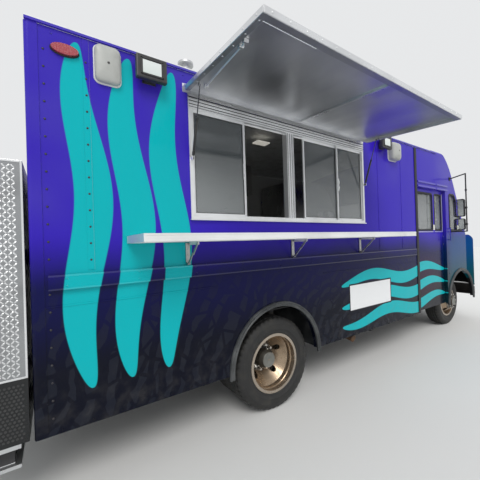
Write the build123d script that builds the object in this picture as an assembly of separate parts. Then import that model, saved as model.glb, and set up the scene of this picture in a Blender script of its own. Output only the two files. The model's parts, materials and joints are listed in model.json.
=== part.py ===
from build123d import *
import math
import os

os.makedirs("parts", exist_ok=True)

# A walk-in van fitted out as a food truck. Lengths are millimetres, angles degrees.
# While it is drawn, X runs forward from the rear axle, Y to the left and Z up from the ground.

# Running gear
WHEELBASE = 3990
TYRE_RADIUS = 405.5
TYRE_WIDTH = 226
RIM_SEAT_RADIUS = 247
RIM_FLANGE_RADIUS = 262
RIM_HALF_WIDTH = 95
RIM_METAL = 9
TWIN_SPACING = 262
REAR_OUTER_TYRE_Y = 1032
FRONT_TYRE_Y = 887
KINGPIN_Y = 735
SPINDLE_RADIUS = 32
BORE_GAP = 0.1
SEAT_GAP = 0.3
HUB_RADIUS = 84
HAND_HOLES = 5
HAND_HOLE_RADIUS = 28
HAND_HOLE_CIRCLE = 170
DISH = 110
STUDS = 10
STUD_CIRCLE_RADIUS = 112.5
STUD_RADIUS = 11
STUD_LENGTH = 45
RAIL_Y = 392
RAIL_WIDTH = 80
RAIL_BOTTOM_Z = TYRE_RADIUS + 169.5
RAIL_TOP_Z = RAIL_BOTTOM_Z + 170

# Body shell
HALF_WIDTH = 1195
WALL = 40
BODY_REAR_X = -1742
BODY_BOTTOM_Z = 455
ROOF_EDGE_Z = 2795
ROOF_CROWN_Z = 2875
ROOF_CORNER_RADIUS = 46
ROOF_SEAM_Z = 2740
BROW_X = WHEELBASE - 953
BROW_RADIUS = 780
WINDSHIELD_SLOPE = 61.8
HOOD_Z = 1520
NOSE_X = WHEELBASE + 810
NOSE_RADIUS = 500
NOSE_CORNER_RADIUS = 280
NOSE_BOTTOM_Z = 640
NOSE_SEAM_X = WHEELBASE + 243
ARCH_RADIUS = TYRE_RADIUS + 69.5
ARCH_Z = TYRE_RADIUS + 44.5
FLARE_WIDTH = 43
FLARE_PROUD = 20
FLOOR_BOTTOM_Z = RAIL_TOP_Z + 30
FLOOR_TOP_Z = FLOOR_BOTTOM_Z + 40
PANEL_GAP = 5

# Cab
DOOR_X0 = WHEELBASE - 1410
DOOR_X1 = WHEELBASE - 515
POST_X = DOOR_X0 - 35
TRACK_Z = 2240
DOOR_HEAD_Z = TRACK_Z - 40
DOOR_THICKNESS = 35
DOOR_INSET = 5
DOOR_LAP = 18
DOOR_TRAVEL = 850
DOOR_WINDOW_Z0 = 1600
DOOR_WINDOW_Z1 = DOOR_HEAD_Z - 60
DOOR_PANES = [(DOOR_X0 + 70, DOOR_X0 + 555), (DOOR_X0 + 620, DOOR_X1 - 45)]
TRACK_HEIGHT = 30
COWL_WIDTH = 30
GLASS = 5
PANE_END_Y = HALF_WIDTH - 110
WINDSHIELD_PANES = [(-PANE_END_Y, -25), (25, PANE_END_Y)]
WINDSHIELD_Z0 = 1600
WINDSHIELD_Z1 = DOOR_HEAD_Z + 100
HOOD_HALF_WIDTH = HALF_WIDTH - 495
HOOD_X0 = NOSE_SEAM_X + 42
HOOD_BOTTOM_Z = 1130

# Serving side
WINDOW_X0 = -800
WINDOW_X1 = POST_X - 1218
WINDOW_Z0 = 1678
WINDOW_Z1 = 2566
WINDOW_FRAME = 25
WINDOW_HEAD = 85
WINDOW_LIP = 12
WINDOW_PROUD = 8
AWNING_X0 = WINDOW_X0 - 40
AWNING_X1 = WINDOW_X1 + 13
AWNING_RIB_X = (AWNING_X0 + AWNING_X1) / 2 + 50
AWNING_LENGTH = 890
AWNING_DROP = math.radians(4.5)
AWNING_SKIN = 4
AWNING_RIM = 36
AWNING_HINGE_OUT = 50
AWNING_HINGE_Z = 2610
AWNING_ROOT = 9
STRUT_FOOT_DROP = 500
STRUT_REACH = 130
STRUT_DEPTH = 32
STRUT_FOOT_OUT = 30
STRUT_TUBE_RADIUS = 9
STRUT_ROD_RADIUS = 4
SHELF_X0 = -1246
SHELF_X1 = WINDOW_X1 + 314
SHELF_TOP_Z = 1557
SHELF_THICKNESS = 46
SHELF_REACH = 400
SHELF_HINGE_OUT = 30
SHELF_HINGE_DROP = 14
BRACE_REACH = 140
BRACE_X = [WINDOW_X0 - 30, (SHELF_X0 + SHELF_X1) / 2, WINDOW_X1 - 102]
RAIL_PROUD = 25

# Rear end
LOCKER_X0 = -2262
LOCKER_X1 = -1768
LOCKER_Y0 = 15 - HALF_WIDTH
LOCKER_Y1 = 40
LOCKER_Z0 = 803
LOCKER_Z1 = 1970
LOCKER_SHEET = 8
BUMPER_X0 = -2300
BUMPER_X1 = -1805
BUMPER_TOP_Z = 462
BUMPER_BOTTOM_Z = 340
REAR_DOOR_Y0 = 110
REAR_DOOR_Y1 = 900
REAR_DOOR_Z1 = 2600

# Ends of the whole vehicle, from which its middle is found
FRONT_BUMPER_X = NOSE_X + 80
MIRROR_OUT = 220
MID_X = (BUMPER_X0 + FRONT_BUMPER_X) / 2
AWNING_EDGE_Y = HALF_WIDTH + AWNING_HINGE_OUT + AWNING_LENGTH * math.cos(AWNING_DROP)
MID_Y = (HALF_WIDTH + MIRROR_OUT - AWNING_EDGE_Y) / 2


def block(x0, x1, y0, y1, z0, z1):
    """A box between two corners."""
    return Pos((x0 + x1) / 2, (y0 + y1) / 2, (z0 + z1) / 2) * Box(x1 - x0, y1 - y0, z1 - z0)


def rod(start, end, radius):
    """A round bar between two points."""
    start = Vector(*start)
    end = Vector(*end)
    run = end - start
    return Plane(origin=start, z_dir=run) * Cylinder(
        radius, run.length, align=(Align.CENTER, Align.CENTER, Align.MIN)
    )


def turned(points, y, x=0):
    """A ring about the wheel's axis, from corners given as (radius, distance outward)."""
    face = Polyline(*[(-out, radius) for radius, out in points], close=True)
    ring = revolve(Plane.YZ * make_face(face), Axis.Y)
    return Pos(x, y, TYRE_RADIUS) * ring


def left_of(shape):
    """The same piece on the other side of the vehicle."""
    return mirror(shape, about=Plane.XZ)


def write(name, *pieces):
    """Saves a node, moved so that the vehicle stands with its middle over the origin."""
    solids = []
    for piece in pieces:
        for solid in piece.solids():
            solids += (Pos(-MID_X, -MID_Y, 0) * solid).solids()
    export_step(Compound(children=solids) if len(solids) > 1 else solids[0], f"parts/{name}.step")


def both(piece):
    """A piece and its twin on the left."""
    return [piece, left_of(piece)]


def envelope(inset):
    """The outer form of the body, or the form of its inside at a depth."""
    half = HALF_WIDTH - inset
    corner = ROOF_CORNER_RADIUS - inset
    edge = ROOF_EDGE_Z - inset
    rim = edge - corner
    bottom = BODY_BOTTOM_Z - 10 * inset
    slant = corner * math.sqrt(0.5)
    section = Plane.YZ * make_face(
        [
            Polyline((-half, rim), (-half, bottom), (half, bottom), (half, rim)),
            ThreePointArc(
                (half, rim), (half - corner + slant, rim + slant), (half - corner, edge)
            ),
            ThreePointArc((half - corner, edge), (0, ROOF_CROWN_Z - inset), (corner - half, edge)),
            ThreePointArc(
                (corner - half, edge), (corner - half - slant, rim + slant), (-half, rim)
            ),
        ]
    )
    length = NOSE_X - BODY_REAR_X
    along = Pos(BODY_REAR_X + inset, 0, 0) * extrude(section, length, dir=(1, 0, 0))

    brow = BROW_RADIUS - inset
    brow_z = ROOF_CROWN_Z - BROW_RADIUS
    slope = math.radians(WINDSHIELD_SLOPE)
    brow_end = (BROW_X + brow * math.sin(slope), brow_z + brow * math.cos(slope))
    brow_mid = (BROW_X + brow * math.sin(slope / 2), brow_z + brow * math.cos(slope / 2))
    hood = HOOD_Z - inset
    base_x = brow_end[0] + (brow_end[1] - hood) / math.tan(slope)
    nose = NOSE_RADIUS - inset
    nose_x = NOSE_X - NOSE_RADIUS
    nose_z = HOOD_Z - NOSE_RADIUS
    front = NOSE_X - inset
    reach = nose * math.sqrt(0.5)
    rear = BODY_REAR_X + inset
    side = Plane.XZ * make_face(
        [
            Polyline((front, nose_z), (front, bottom), (rear, bottom), (rear, ROOF_CROWN_Z - inset),
                     (BROW_X, ROOF_CROWN_Z - inset)),
            ThreePointArc((BROW_X, ROOF_CROWN_Z - inset), brow_mid, brow_end),
            Polyline(brow_end, (base_x, hood), (nose_x, hood)),
            ThreePointArc((nose_x, hood), (nose_x + reach, nose_z + reach), (front, nose_z)),
        ]
    )
    across = extrude(side, HALF_WIDTH + WALL, both=True)

    plan = block(rear, front, -half, half, bottom, ROOF_CROWN_Z)
    corners = plan.edges().filter_by(Axis.Z).group_by(Axis.X)[-1]
    plan = fillet(corners, NOSE_CORNER_RADIUS - inset)
    return along & across & plan


OUTER = envelope(0)
INNER = envelope(WALL)
SHELL = OUTER - INNER
PANE = envelope((WALL - GLASS) / 2) - envelope((WALL + GLASS) / 2)
FAR = 6000
INSIDE_Y = HALF_WIDTH - WALL
REAR_ARCH = Pos(0, 0, ARCH_Z) * Rot(90, 0, 0) * Cylinder(ARCH_RADIUS, FAR)
FRONT_ARCH = Pos(WHEELBASE, 0, 0) * REAR_ARCH


# Chassis: two rails joined by cross members, with arms dropped under the tail for the bumper
RAIL_X0 = BODY_REAR_X + WALL
RAIL_X1 = NOSE_X - WALL - PANEL_GAP
CROSS_MEMBERS_X = [-1100, -650, 700, 1600, DOOR_X0 - 80, NOSE_X - 200]
ARM_Z0, ARM_Z1 = BUMPER_BOTTOM_Z + 20, BODY_BOTTOM_Z - 15
rail = block(RAIL_X0, RAIL_X1, RAIL_Y - RAIL_WIDTH / 2, RAIL_Y + RAIL_WIDTH / 2, RAIL_BOTTOM_Z, RAIL_TOP_Z)
rail += block(BUMPER_X1 - 30, RAIL_X0 + 200, RAIL_Y - 35, RAIL_Y + 35, ARM_Z0, ARM_Z1)
rail += block(RAIL_X0 + 40, RAIL_X0 + 200, RAIL_Y - 35, RAIL_Y + 35, ARM_Z1, RAIL_BOTTOM_Z)
chassis = rail + left_of(rail)
for x in CROSS_MEMBERS_X:
    chassis += block(x - 40, x + 40, -RAIL_Y, RAIL_Y, RAIL_BOTTOM_Z + 60, RAIL_TOP_Z - 20)
write("chassis_frame", chassis)

# Engine and gearbox as one plain block between the rails, with mounting feet on them
ENGINE_X0, ENGINE_X1 = WHEELBASE - 290, WHEELBASE + 410
GEARBOX_X0 = WHEELBASE - 990
SHAFT_FRONT_Z = RAIL_BOTTOM_Z + 25
SHAFT_RADIUS = 45
RAIL_INSIDE_Y = RAIL_Y - RAIL_WIDTH / 2
engine = block(ENGINE_X0, ENGINE_X1, -320, 320, RAIL_BOTTOM_Z - 15, RAIL_BOTTOM_Z + 595)
GEARBOX_HALF = 170
engine += block(GEARBOX_X0, ENGINE_X0, -GEARBOX_HALF, GEARBOX_HALF, RAIL_BOTTOM_Z - 75, RAIL_TOP_Z + 10)
engine += block(ENGINE_X0 + 250, ENGINE_X0 + 350, -RAIL_INSIDE_Y, RAIL_INSIDE_Y,
                RAIL_BOTTOM_Z + 45, RAIL_BOTTOM_Z + 125)
write("engine_block", engine)

# Drive shaft from the gearbox down to the nose of the rear axle
DIFF_RADIUS = 165
DIFF_NOSE_X = 230
YOKE = 30
shaft_rear_z = TYRE_RADIUS + 20
shaft = rod((DIFF_NOSE_X + YOKE / 2, 0, shaft_rear_z), (GEARBOX_X0 - YOKE / 2, 0, SHAFT_FRONT_Z), SHAFT_RADIUS)
shaft += rod((DIFF_NOSE_X, 0, shaft_rear_z), (DIFF_NOSE_X + YOKE, 0, shaft_rear_z), SHAFT_RADIUS + 10)
shaft += rod((GEARBOX_X0 - YOKE, 0, SHAFT_FRONT_Z), (GEARBOX_X0, 0, SHAFT_FRONT_Z), SHAFT_RADIUS + 10)
write("drive_shaft", shaft)

# Rear axle: tube, differential and the spindles on which the hubs turn
REAR_SPINDLE_END = REAR_OUTER_TYRE_Y - 45
rear_axle = rod((0, -640, TYRE_RADIUS), (0, 640, TYRE_RADIUS), 55)
rear_axle += rod((0, -REAR_SPINDLE_END, TYRE_RADIUS), (0, REAR_SPINDLE_END, TYRE_RADIUS), SPINDLE_RADIUS)
rear_axle += Pos(0, 0, TYRE_RADIUS) * Sphere(DIFF_RADIUS)
rear_axle += block(100, DIFF_NOSE_X, -60, 60, TYRE_RADIUS - 50, TYRE_RADIUS + 80)
SEAT_HEIGHT = 62
for y in (-RAIL_Y, RAIL_Y):
    rear_axle += block(-60, 60, y - 40, y + 40, TYRE_RADIUS, TYRE_RADIUS + SEAT_HEIGHT)
write("rear_axle", rear_axle)

# Front axle: a beam with an eye at each end for the kingpin
EYE_RADIUS = 40
EYE_Z0, EYE_Z1 = TYRE_RADIUS - 55.5, TYRE_RADIUS + 54.5
KINGPIN_RADIUS = 18
front_axle = block(WHEELBASE - 35, WHEELBASE + 35, -KINGPIN_Y, KINGPIN_Y, EYE_Z0, EYE_Z1 - 10)
for y in (-KINGPIN_Y, KINGPIN_Y):
    front_axle += rod((WHEELBASE, y, EYE_Z0), (WHEELBASE, y, EYE_Z1), EYE_RADIUS)
for y in (-KINGPIN_Y, KINGPIN_Y):
    front_axle -= rod((WHEELBASE, y, 0), (WHEELBASE, y, FAR), KINGPIN_RADIUS + BORE_GAP)
for y in (-RAIL_Y, RAIL_Y):
    front_axle += block(WHEELBASE - 60, WHEELBASE + 60, y - 40, y + 40, EYE_Z1 - 12,
                        TYRE_RADIUS + SEAT_HEIGHT)
write("front_axle", front_axle)

# Leaf springs: one pack on each axle seat, its eyes hung from the rail
SPRING_WIDTH = 70
SPRING_THICKNESS = 50
SPRING_RISE = 40
springs = []
for axle_x, half_length in ((0, 640), (WHEELBASE, 560)):
    z = TYRE_RADIUS + SEAT_HEIGHT
    leaf = Polyline(
        (axle_x - 90, z), (axle_x + 90, z),
        (axle_x + half_length, z + SPRING_RISE),
        (axle_x + half_length, RAIL_BOTTOM_Z),
        (axle_x + half_length - 50, RAIL_BOTTOM_Z),
        (axle_x + half_length - 50, z + SPRING_RISE + SPRING_THICKNESS / 2),
        (axle_x + 90, z + SPRING_THICKNESS), (axle_x - 90, z + SPRING_THICKNESS),
        (axle_x - half_length + 50, z + SPRING_RISE + SPRING_THICKNESS / 2),
        (axle_x - half_length + 50, RAIL_BOTTOM_Z),
        (axle_x - half_length, RAIL_BOTTOM_Z),
        (axle_x - half_length, z + SPRING_RISE),
        close=True,
    )
    pack = Pos(0, -RAIL_Y, 0) * extrude(Plane.XZ * make_face(leaf), SPRING_WIDTH / 2, both=True)
    springs += both(pack)
write("leaf_springs", *springs)

# Fuel tank on the outside of the left rail
RAIL_OUTSIDE_Y = RAIL_Y + RAIL_WIDTH / 2
tank = block(900, 1640, RAIL_OUTSIDE_Y, 1000, RAIL_BOTTOM_Z - 155, RAIL_TOP_Z - 5)
tank = fillet(tank.edges().filter_by(Axis.X), 50)
tank += block(1000, 1080, RAIL_OUTSIDE_Y, RAIL_OUTSIDE_Y + 80, RAIL_BOTTOM_Z + 15, RAIL_TOP_Z - 5)
write("fuel_tank", tank)

# Exhaust: pipe and muffler on the outside of the right rail, out ahead of the rear wheels
EXHAUST_Y = -560
EXHAUST_Z = RAIL_BOTTOM_Z - 45
PIPE_RADIUS = 38
MUFFLER_RADIUS = 110
TAIL_X = 1100
TAIL_END_Y = 35 - HALF_WIDTH
DOWNPIPE_X = GEARBOX_X0 + 300
MUFFLER_X0, MUFFLER_X1 = TAIL_X + 400, TAIL_X + 1150
exhaust = rod((TAIL_X, EXHAUST_Y, EXHAUST_Z), (DOWNPIPE_X, EXHAUST_Y, EXHAUST_Z), PIPE_RADIUS)
exhaust += rod((MUFFLER_X0, EXHAUST_Y, EXHAUST_Z), (MUFFLER_X1, EXHAUST_Y, EXHAUST_Z), MUFFLER_RADIUS)
exhaust += rod((TAIL_X, TAIL_END_Y, EXHAUST_Z - 130), (TAIL_X, EXHAUST_Y + PIPE_RADIUS, EXHAUST_Z), PIPE_RADIUS)
exhaust += rod((DOWNPIPE_X, EXHAUST_Y - PIPE_RADIUS, EXHAUST_Z), (DOWNPIPE_X, -GEARBOX_HALF, EXHAUST_Z),
               PIPE_RADIUS)
for x in (MUFFLER_X0 - 200, MUFFLER_X1 + 350):
    exhaust += block(x - 15, x + 15, EXHAUST_Y - 15, -RAIL_OUTSIDE_Y, EXHAUST_Z + 20, EXHAUST_Z + 60)
write("exhaust", exhaust)

# Tyres, corners as (radius, distance outward from the tyre's middle)
SEAT = RIM_SEAT_RADIUS + SEAT_GAP
BEAD = RIM_HALF_WIDTH - RIM_METAL - 0.5
TYRE_HALF = TYRE_WIDTH / 2
BULGE = TYRE_RADIUS - 80.5
SHOULDER = TYRE_RADIUS - 25.5
TYRE_OUTLINE = [
    (SEAT, -BEAD), (RIM_FLANGE_RADIUS + 3, -BEAD), (BULGE, -TYRE_HALF), (SHOULDER, -TYRE_HALF + 6),
    (TYRE_RADIUS, -TYRE_HALF + 28), (TYRE_RADIUS, TYRE_HALF - 28), (SHOULDER, TYRE_HALF - 6),
    (BULGE, TYRE_HALF), (RIM_FLANGE_RADIUS + 3, BEAD), (SEAT, BEAD),
]
REAR_INNER_TYRE_Y = REAR_OUTER_TYRE_Y - TWIN_SPACING
rear_tyres = [turned(TYRE_OUTLINE, -y) for y in (REAR_OUTER_TYRE_Y, REAR_INNER_TYRE_Y)]
front_tyre = turned(TYRE_OUTLINE, -FRONT_TYRE_Y, WHEELBASE)
write("tyres_rear_right", *rear_tyres)
write("tyres_rear_left", *[left_of(t) for t in rear_tyres])
write("tyre_front_right", front_tyre)
write("tyre_front_left", left_of(front_tyre))

# Rims. A rear pair is bolted disc to disc, dished to either side of the bolting face.
BARREL = RIM_SEAT_RADIUS - RIM_METAL
BOLT_FACE_RADIUS = 138
DISC = 12
rim_in = TWIN_SPACING / 2 - RIM_HALF_WIDTH
rim_out = TWIN_SPACING / 2 + RIM_HALF_WIDTH
REAR_RIM = [
    (HUB_RADIUS - 8, 0), (BOLT_FACE_RADIUS, 0), (BARREL, DISH), (BARREL, rim_in), (RIM_FLANGE_RADIUS, rim_in),
    (RIM_FLANGE_RADIUS, rim_in + RIM_METAL), (RIM_SEAT_RADIUS, rim_in + RIM_METAL),
    (RIM_SEAT_RADIUS, rim_out - RIM_METAL), (RIM_FLANGE_RADIUS, rim_out - RIM_METAL),
    (RIM_FLANGE_RADIUS, rim_out), (BARREL, rim_out), (BARREL, DISH + DISC + 4), (BOLT_FACE_RADIUS - 4, DISC),
    (HUB_RADIUS - 8, DISC),
]
HUB_IN, HUB_OUT, HUB_CAP = -210, 100, 125
bore = SPINDLE_RADIUS + BORE_GAP
REAR_HUB = [(bore, HUB_IN), (HUB_RADIUS, HUB_IN), (HUB_RADIUS, HUB_OUT), (70, HUB_CAP), (bore, HUB_CAP)]
REAR_DRUM = [(HUB_RADIUS - 4, -14), (HUB_RADIUS - 4, -2), (200, -2), (200, -190), (186, -190), (186, -14)]
bolt_face_y = -(REAR_OUTER_TYRE_Y + REAR_INNER_TYRE_Y) / 2
rear_rims = turned(REAR_RIM, bolt_face_y) + turned([(r, -t) for r, t in REAR_RIM], bolt_face_y)
rear_rims += turned(REAR_HUB, bolt_face_y)
for i in range(HAND_HOLES):
    turn = Pos(0, 0, TYRE_RADIUS) * Rot(0, 360 / HAND_HOLES * i - 2, 0) * Pos(0, 0, -TYRE_RADIUS)
    hole = rod((0, bolt_face_y - DISH, TYRE_RADIUS + HAND_HOLE_CIRCLE),
               (0, bolt_face_y + DISH, TYRE_RADIUS + HAND_HOLE_CIRCLE), HAND_HOLE_RADIUS)
    rear_rims -= turn * hole
for i in range(STUDS):
    turn = Pos(0, 0, TYRE_RADIUS) * Rot(0, 360 / STUDS * (i + 0.5), 0)
    stud = rod((0, bolt_face_y, STUD_CIRCLE_RADIUS), (0, bolt_face_y - DISC - STUD_LENGTH, STUD_CIRCLE_RADIUS),
               STUD_RADIUS)
    rear_rims += turn * stud
rear_rims += turned(REAR_DRUM, bolt_face_y)
rear_rims += turned([(0, HUB_CAP), (70, HUB_CAP), (60, HUB_CAP + 12), (0, HUB_CAP + 14)], bolt_face_y)
write("rims_rear_right", rear_rims)
write("rims_rear_left", left_of(rear_rims))

# A front rim is the same rim turned round, so its disc bulges outward
FACE = TWIN_SPACING / 2 - DISC
FRONT_RIM = [
    (HUB_RADIUS - 8, FACE), (BOLT_FACE_RADIUS - 4, FACE), (BARREL, FACE - DISH), (BARREL, -RIM_HALF_WIDTH),
    (RIM_FLANGE_RADIUS, -RIM_HALF_WIDTH), (RIM_FLANGE_RADIUS, RIM_METAL - RIM_HALF_WIDTH),
    (RIM_SEAT_RADIUS, RIM_METAL - RIM_HALF_WIDTH), (RIM_SEAT_RADIUS, RIM_HALF_WIDTH - RIM_METAL),
    (RIM_FLANGE_RADIUS, RIM_HALF_WIDTH - RIM_METAL), (RIM_FLANGE_RADIUS, RIM_HALF_WIDTH),
    (BARREL, RIM_HALF_WIDTH), (BARREL, FACE - DISH + DISC + 4), (BOLT_FACE_RADIUS, FACE + DISC),
    (HUB_RADIUS - 8, FACE + DISC),
]
FRONT_HUB = [(bore, -60), (HUB_RADIUS, -60), (HUB_RADIUS, FACE + 30), (60, FACE + 60), (bore, FACE + 60)]
FRONT_DRUM = [(HUB_RADIUS - 4, 40), (HUB_RADIUS - 4, 54), (190, 54), (190, -60), (176, -60), (176, 40)]
front_rim = turned(FRONT_RIM, -FRONT_TYRE_Y, WHEELBASE) + turned(FRONT_HUB, -FRONT_TYRE_Y, WHEELBASE)
for i in range(HAND_HOLES):
    turn = Pos(WHEELBASE, 0, TYRE_RADIUS) * Rot(0, 360 / HAND_HOLES * i, 0) * Pos(-WHEELBASE, 0, -TYRE_RADIUS)
    hole = rod((WHEELBASE, -FRONT_TYRE_Y - FACE - DISC - 5, TYRE_RADIUS + HAND_HOLE_CIRCLE),
               (WHEELBASE, -FRONT_TYRE_Y - 5, TYRE_RADIUS + HAND_HOLE_CIRCLE), HAND_HOLE_RADIUS)
    front_rim -= turn * hole
front_face_y = -FRONT_TYRE_Y - FACE
for i in range(STUDS):
    turn = Pos(WHEELBASE, 0, TYRE_RADIUS) * Rot(0, 360 / STUDS * (i + 0.5), 0)
    stud = rod((0, front_face_y, STUD_CIRCLE_RADIUS), (0, front_face_y - DISC - STUD_LENGTH, STUD_CIRCLE_RADIUS),
               STUD_RADIUS)
    front_rim += turn * stud
front_rim += turned(FRONT_DRUM, -FRONT_TYRE_Y, WHEELBASE)
front_rim += turned([(0, FACE + 60), (60, FACE + 60), (52, FACE + 70), (0, FACE + 72)], -FRONT_TYRE_Y, WHEELBASE)
write("rim_front_right", front_rim)
write("rim_front_left", left_of(front_rim))

# Knuckles: a fork about the axle's eye, the kingpin through it and the spindle outboard
FORK_GAP = 6
LUG = 28
PLATE_Y0 = KINGPIN_Y + EYE_RADIUS + 8
PLATE_Y1 = PLATE_Y0 + 22
knuckle = block(WHEELBASE - 38, WHEELBASE + 38, -PLATE_Y1, -PLATE_Y0,
                EYE_Z0 - FORK_GAP - LUG, EYE_Z1 + FORK_GAP + LUG)
for z in (EYE_Z0 - FORK_GAP - LUG, EYE_Z1 + FORK_GAP):
    knuckle += block(WHEELBASE - 38, WHEELBASE + 38, -PLATE_Y0, 30 - KINGPIN_Y, z, z + LUG)
knuckle += rod((WHEELBASE, -KINGPIN_Y, EYE_Z0 - FORK_GAP - LUG), (WHEELBASE, -KINGPIN_Y, EYE_Z1 + FORK_GAP + LUG),
               KINGPIN_RADIUS)
knuckle += rod((WHEELBASE, -PLATE_Y0, TYRE_RADIUS), (WHEELBASE, -FRONT_TYRE_Y - FACE - 50, TYRE_RADIUS),
               SPINDLE_RADIUS)
write("knuckle_right", knuckle)
write("knuckle_left", left_of(knuckle))

# Floor of planks on cross sills, with wheel boxes over the twins and a step well inside each
# cab door, both riveted up from sheets
SLOT_X0 = DOOR_X0 - DOOR_LAP - DOOR_TRAVEL - 20
SLOT_X1 = DOOR_X1 + DOOR_LAP
SLOT_Y = INSIDE_Y - DOOR_INSET - DOOR_THICKNESS - 15
FLOOR_X0, FLOOR_X1 = BODY_REAR_X + WALL, DOOR_X1 + 5
BOX_X = ARCH_RADIUS + 25
BOX_Y = REAR_INNER_TYRE_Y - TYRE_HALF - 57
BOX_Z = FLOOR_BOTTOM_Z + 125
SHEET = 10
STEP_X0, STEP_X1 = DOOR_X0 + 40, DOOR_X1 - 35
STEP_Y = SLOT_Y - 280
STEP_Z = 470
box_x = BOX_X + SHEET
well_x0, well_x1, well_y = STEP_X0 - SHEET, STEP_X1 + SHEET, STEP_Y - SHEET
floor = [block(FLOOR_X0, FLOOR_X1, -BOX_Y, BOX_Y, FLOOR_BOTTOM_Z, FLOOR_TOP_Z)]
PLANKS = [(FLOOR_X0, -box_x, INSIDE_Y), (box_x, SLOT_X0, INSIDE_Y), (SLOT_X0, well_x0, SLOT_Y),
          (well_x0, well_x1, well_y), (well_x1, FLOOR_X1, SLOT_Y)]
for x0, x1, edge_y in PLANKS:
    floor += both(block(x0, x1, BOX_Y, edge_y, FLOOR_BOTTOM_Z, FLOOR_TOP_Z))
for x0, x1, y0, y1, z0, z1 in (
    (-box_x, box_x, BOX_Y, INSIDE_Y, BOX_Z - SHEET, BOX_Z),
    (-box_x, box_x, BOX_Y, BOX_Y + SHEET, FLOOR_BOTTOM_Z, BOX_Z - SHEET),
    (-box_x, -BOX_X, BOX_Y + SHEET, INSIDE_Y, FLOOR_BOTTOM_Z, BOX_Z - SHEET),
    (BOX_X, box_x, BOX_Y + SHEET, INSIDE_Y, FLOOR_BOTTOM_Z, BOX_Z - SHEET),
    (well_x0, well_x1, well_y, SLOT_Y, STEP_Z - SHEET, STEP_Z),
    (well_x0, well_x1, well_y, STEP_Y, STEP_Z, FLOOR_TOP_Z),
    (well_x0, STEP_X0, STEP_Y, SLOT_Y, STEP_Z, FLOOR_TOP_Z),
    (STEP_X1, well_x1, STEP_Y, SLOT_Y, STEP_Z, FLOOR_TOP_Z),
):
    floor += both(block(x0, x1, y0, y1, z0, z1))
SILLS_X = (BODY_REAR_X + 142, -1100, -650, 650, 1100, 1700, DOOR_X0 - 280)
for x in SILLS_X:
    floor.append(block(x - 30, x + 30, -SLOT_Y, SLOT_Y, RAIL_TOP_Z, FLOOR_BOTTOM_Z))
DRAIN = (1500, 55 - INSIDE_Y)
DRAIN_RADIUS = 28
floor.append(rod((*DRAIN, BODY_BOTTOM_Z - 55), (*DRAIN, FLOOR_BOTTOM_Z), DRAIN_RADIUS))
write("floor", *floor)

# Side walls from the rear corner to the cab door, with the serving window cut in the right one
wall = SHELL & block(BODY_REAR_X, POST_X, -HALF_WIDTH, -INSIDE_Y, BODY_BOTTOM_Z, ROOF_SEAM_Z)
wall -= REAR_ARCH
write("side_wall_left", left_of(wall))
cut_x0 = WINDOW_X0 + WINDOW_LIP
cut_x1 = WINDOW_X1 - WINDOW_LIP
cut_z0 = WINDOW_Z0 + WINDOW_LIP
cut_z1 = WINDOW_Z1 - WINDOW_LIP
wall -= block(cut_x0, cut_x1, -FAR, 0, cut_z0, cut_z1)
write("side_wall_right", wall)

# Rear wall with its doorway
rear_wall = block(BODY_REAR_X, BODY_REAR_X + WALL, -INSIDE_Y, INSIDE_Y, BODY_BOTTOM_Z, ROOF_SEAM_Z)
rear_wall -= block(-FAR, 0, REAR_DOOR_Y0, REAR_DOOR_Y1, FLOOR_TOP_Z, REAR_DOOR_Z1)

# Roof, and the zones of the cap that curves down over the cab to the windshield
roof_zone = block(BODY_REAR_X, BROW_X, -FAR, FAR, ROOF_SEAM_Z, FAR)
write("roof", SHELL & roof_zone)
cap_zone = block(BROW_X, FAR, -FAR, FAR, DOOR_HEAD_Z, FAR) + block(
    POST_X, BROW_X, -FAR, FAR, DOOR_HEAD_Z, ROOF_SEAM_Z
)
windshield_zone = block(POST_X, NOSE_SEAM_X + COWL_WIDTH, -INSIDE_Y, INSIDE_Y, HOOD_Z - WALL, WINDSHIELD_Z1 + 50)

# Cab sides: door opening, post, side window ahead of it and the front wheel arch
side_zone = block(POST_X, NOSE_SEAM_X, -HALF_WIDTH, -INSIDE_Y, BODY_BOTTOM_Z, DOOR_HEAD_Z)
SIDE_WINDOW_X = DOOR_X1 + 135
SIDE_WINDOW = [(SIDE_WINDOW_X, WINDSHIELD_Z0), (SIDE_WINDOW_X + 495, WINDSHIELD_Z0),
               (SIDE_WINDOW_X + 190, DOOR_HEAD_Z - 40), (SIDE_WINDOW_X, DOOR_HEAD_Z - 40)]
side_window = Pos(0, -HALF_WIDTH, 0) * extrude(
    Plane.XZ * make_face(Polyline(*SIDE_WINDOW, close=True)), 2 * WALL, both=True
)
cab_side = (SHELL & side_zone) - FRONT_ARCH - side_window
cab_side -= block(DOOR_X0, DOOR_X1, -FAR, 0, 0, DOOR_HEAD_Z)
GRAB_X = DOOR_X1 + 45
GRAB_OUT = 35
GRAB_Z0, GRAB_Z1 = 1430, 1630
grab_y = -HALF_WIDTH - GRAB_OUT
grab = rod((GRAB_X, grab_y, GRAB_Z0), (GRAB_X, grab_y, GRAB_Z1), 8)
for z in (GRAB_Z0 + 15, GRAB_Z1 - 15):
    grab += rod((GRAB_X, -HALF_WIDTH, z), (GRAB_X, grab_y, z), 6)
cab_side += grab
write("cab_side_right", *cab_side.solids())
write("cab_side_left", *[left_of(s) for s in cab_side.solids()])

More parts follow.
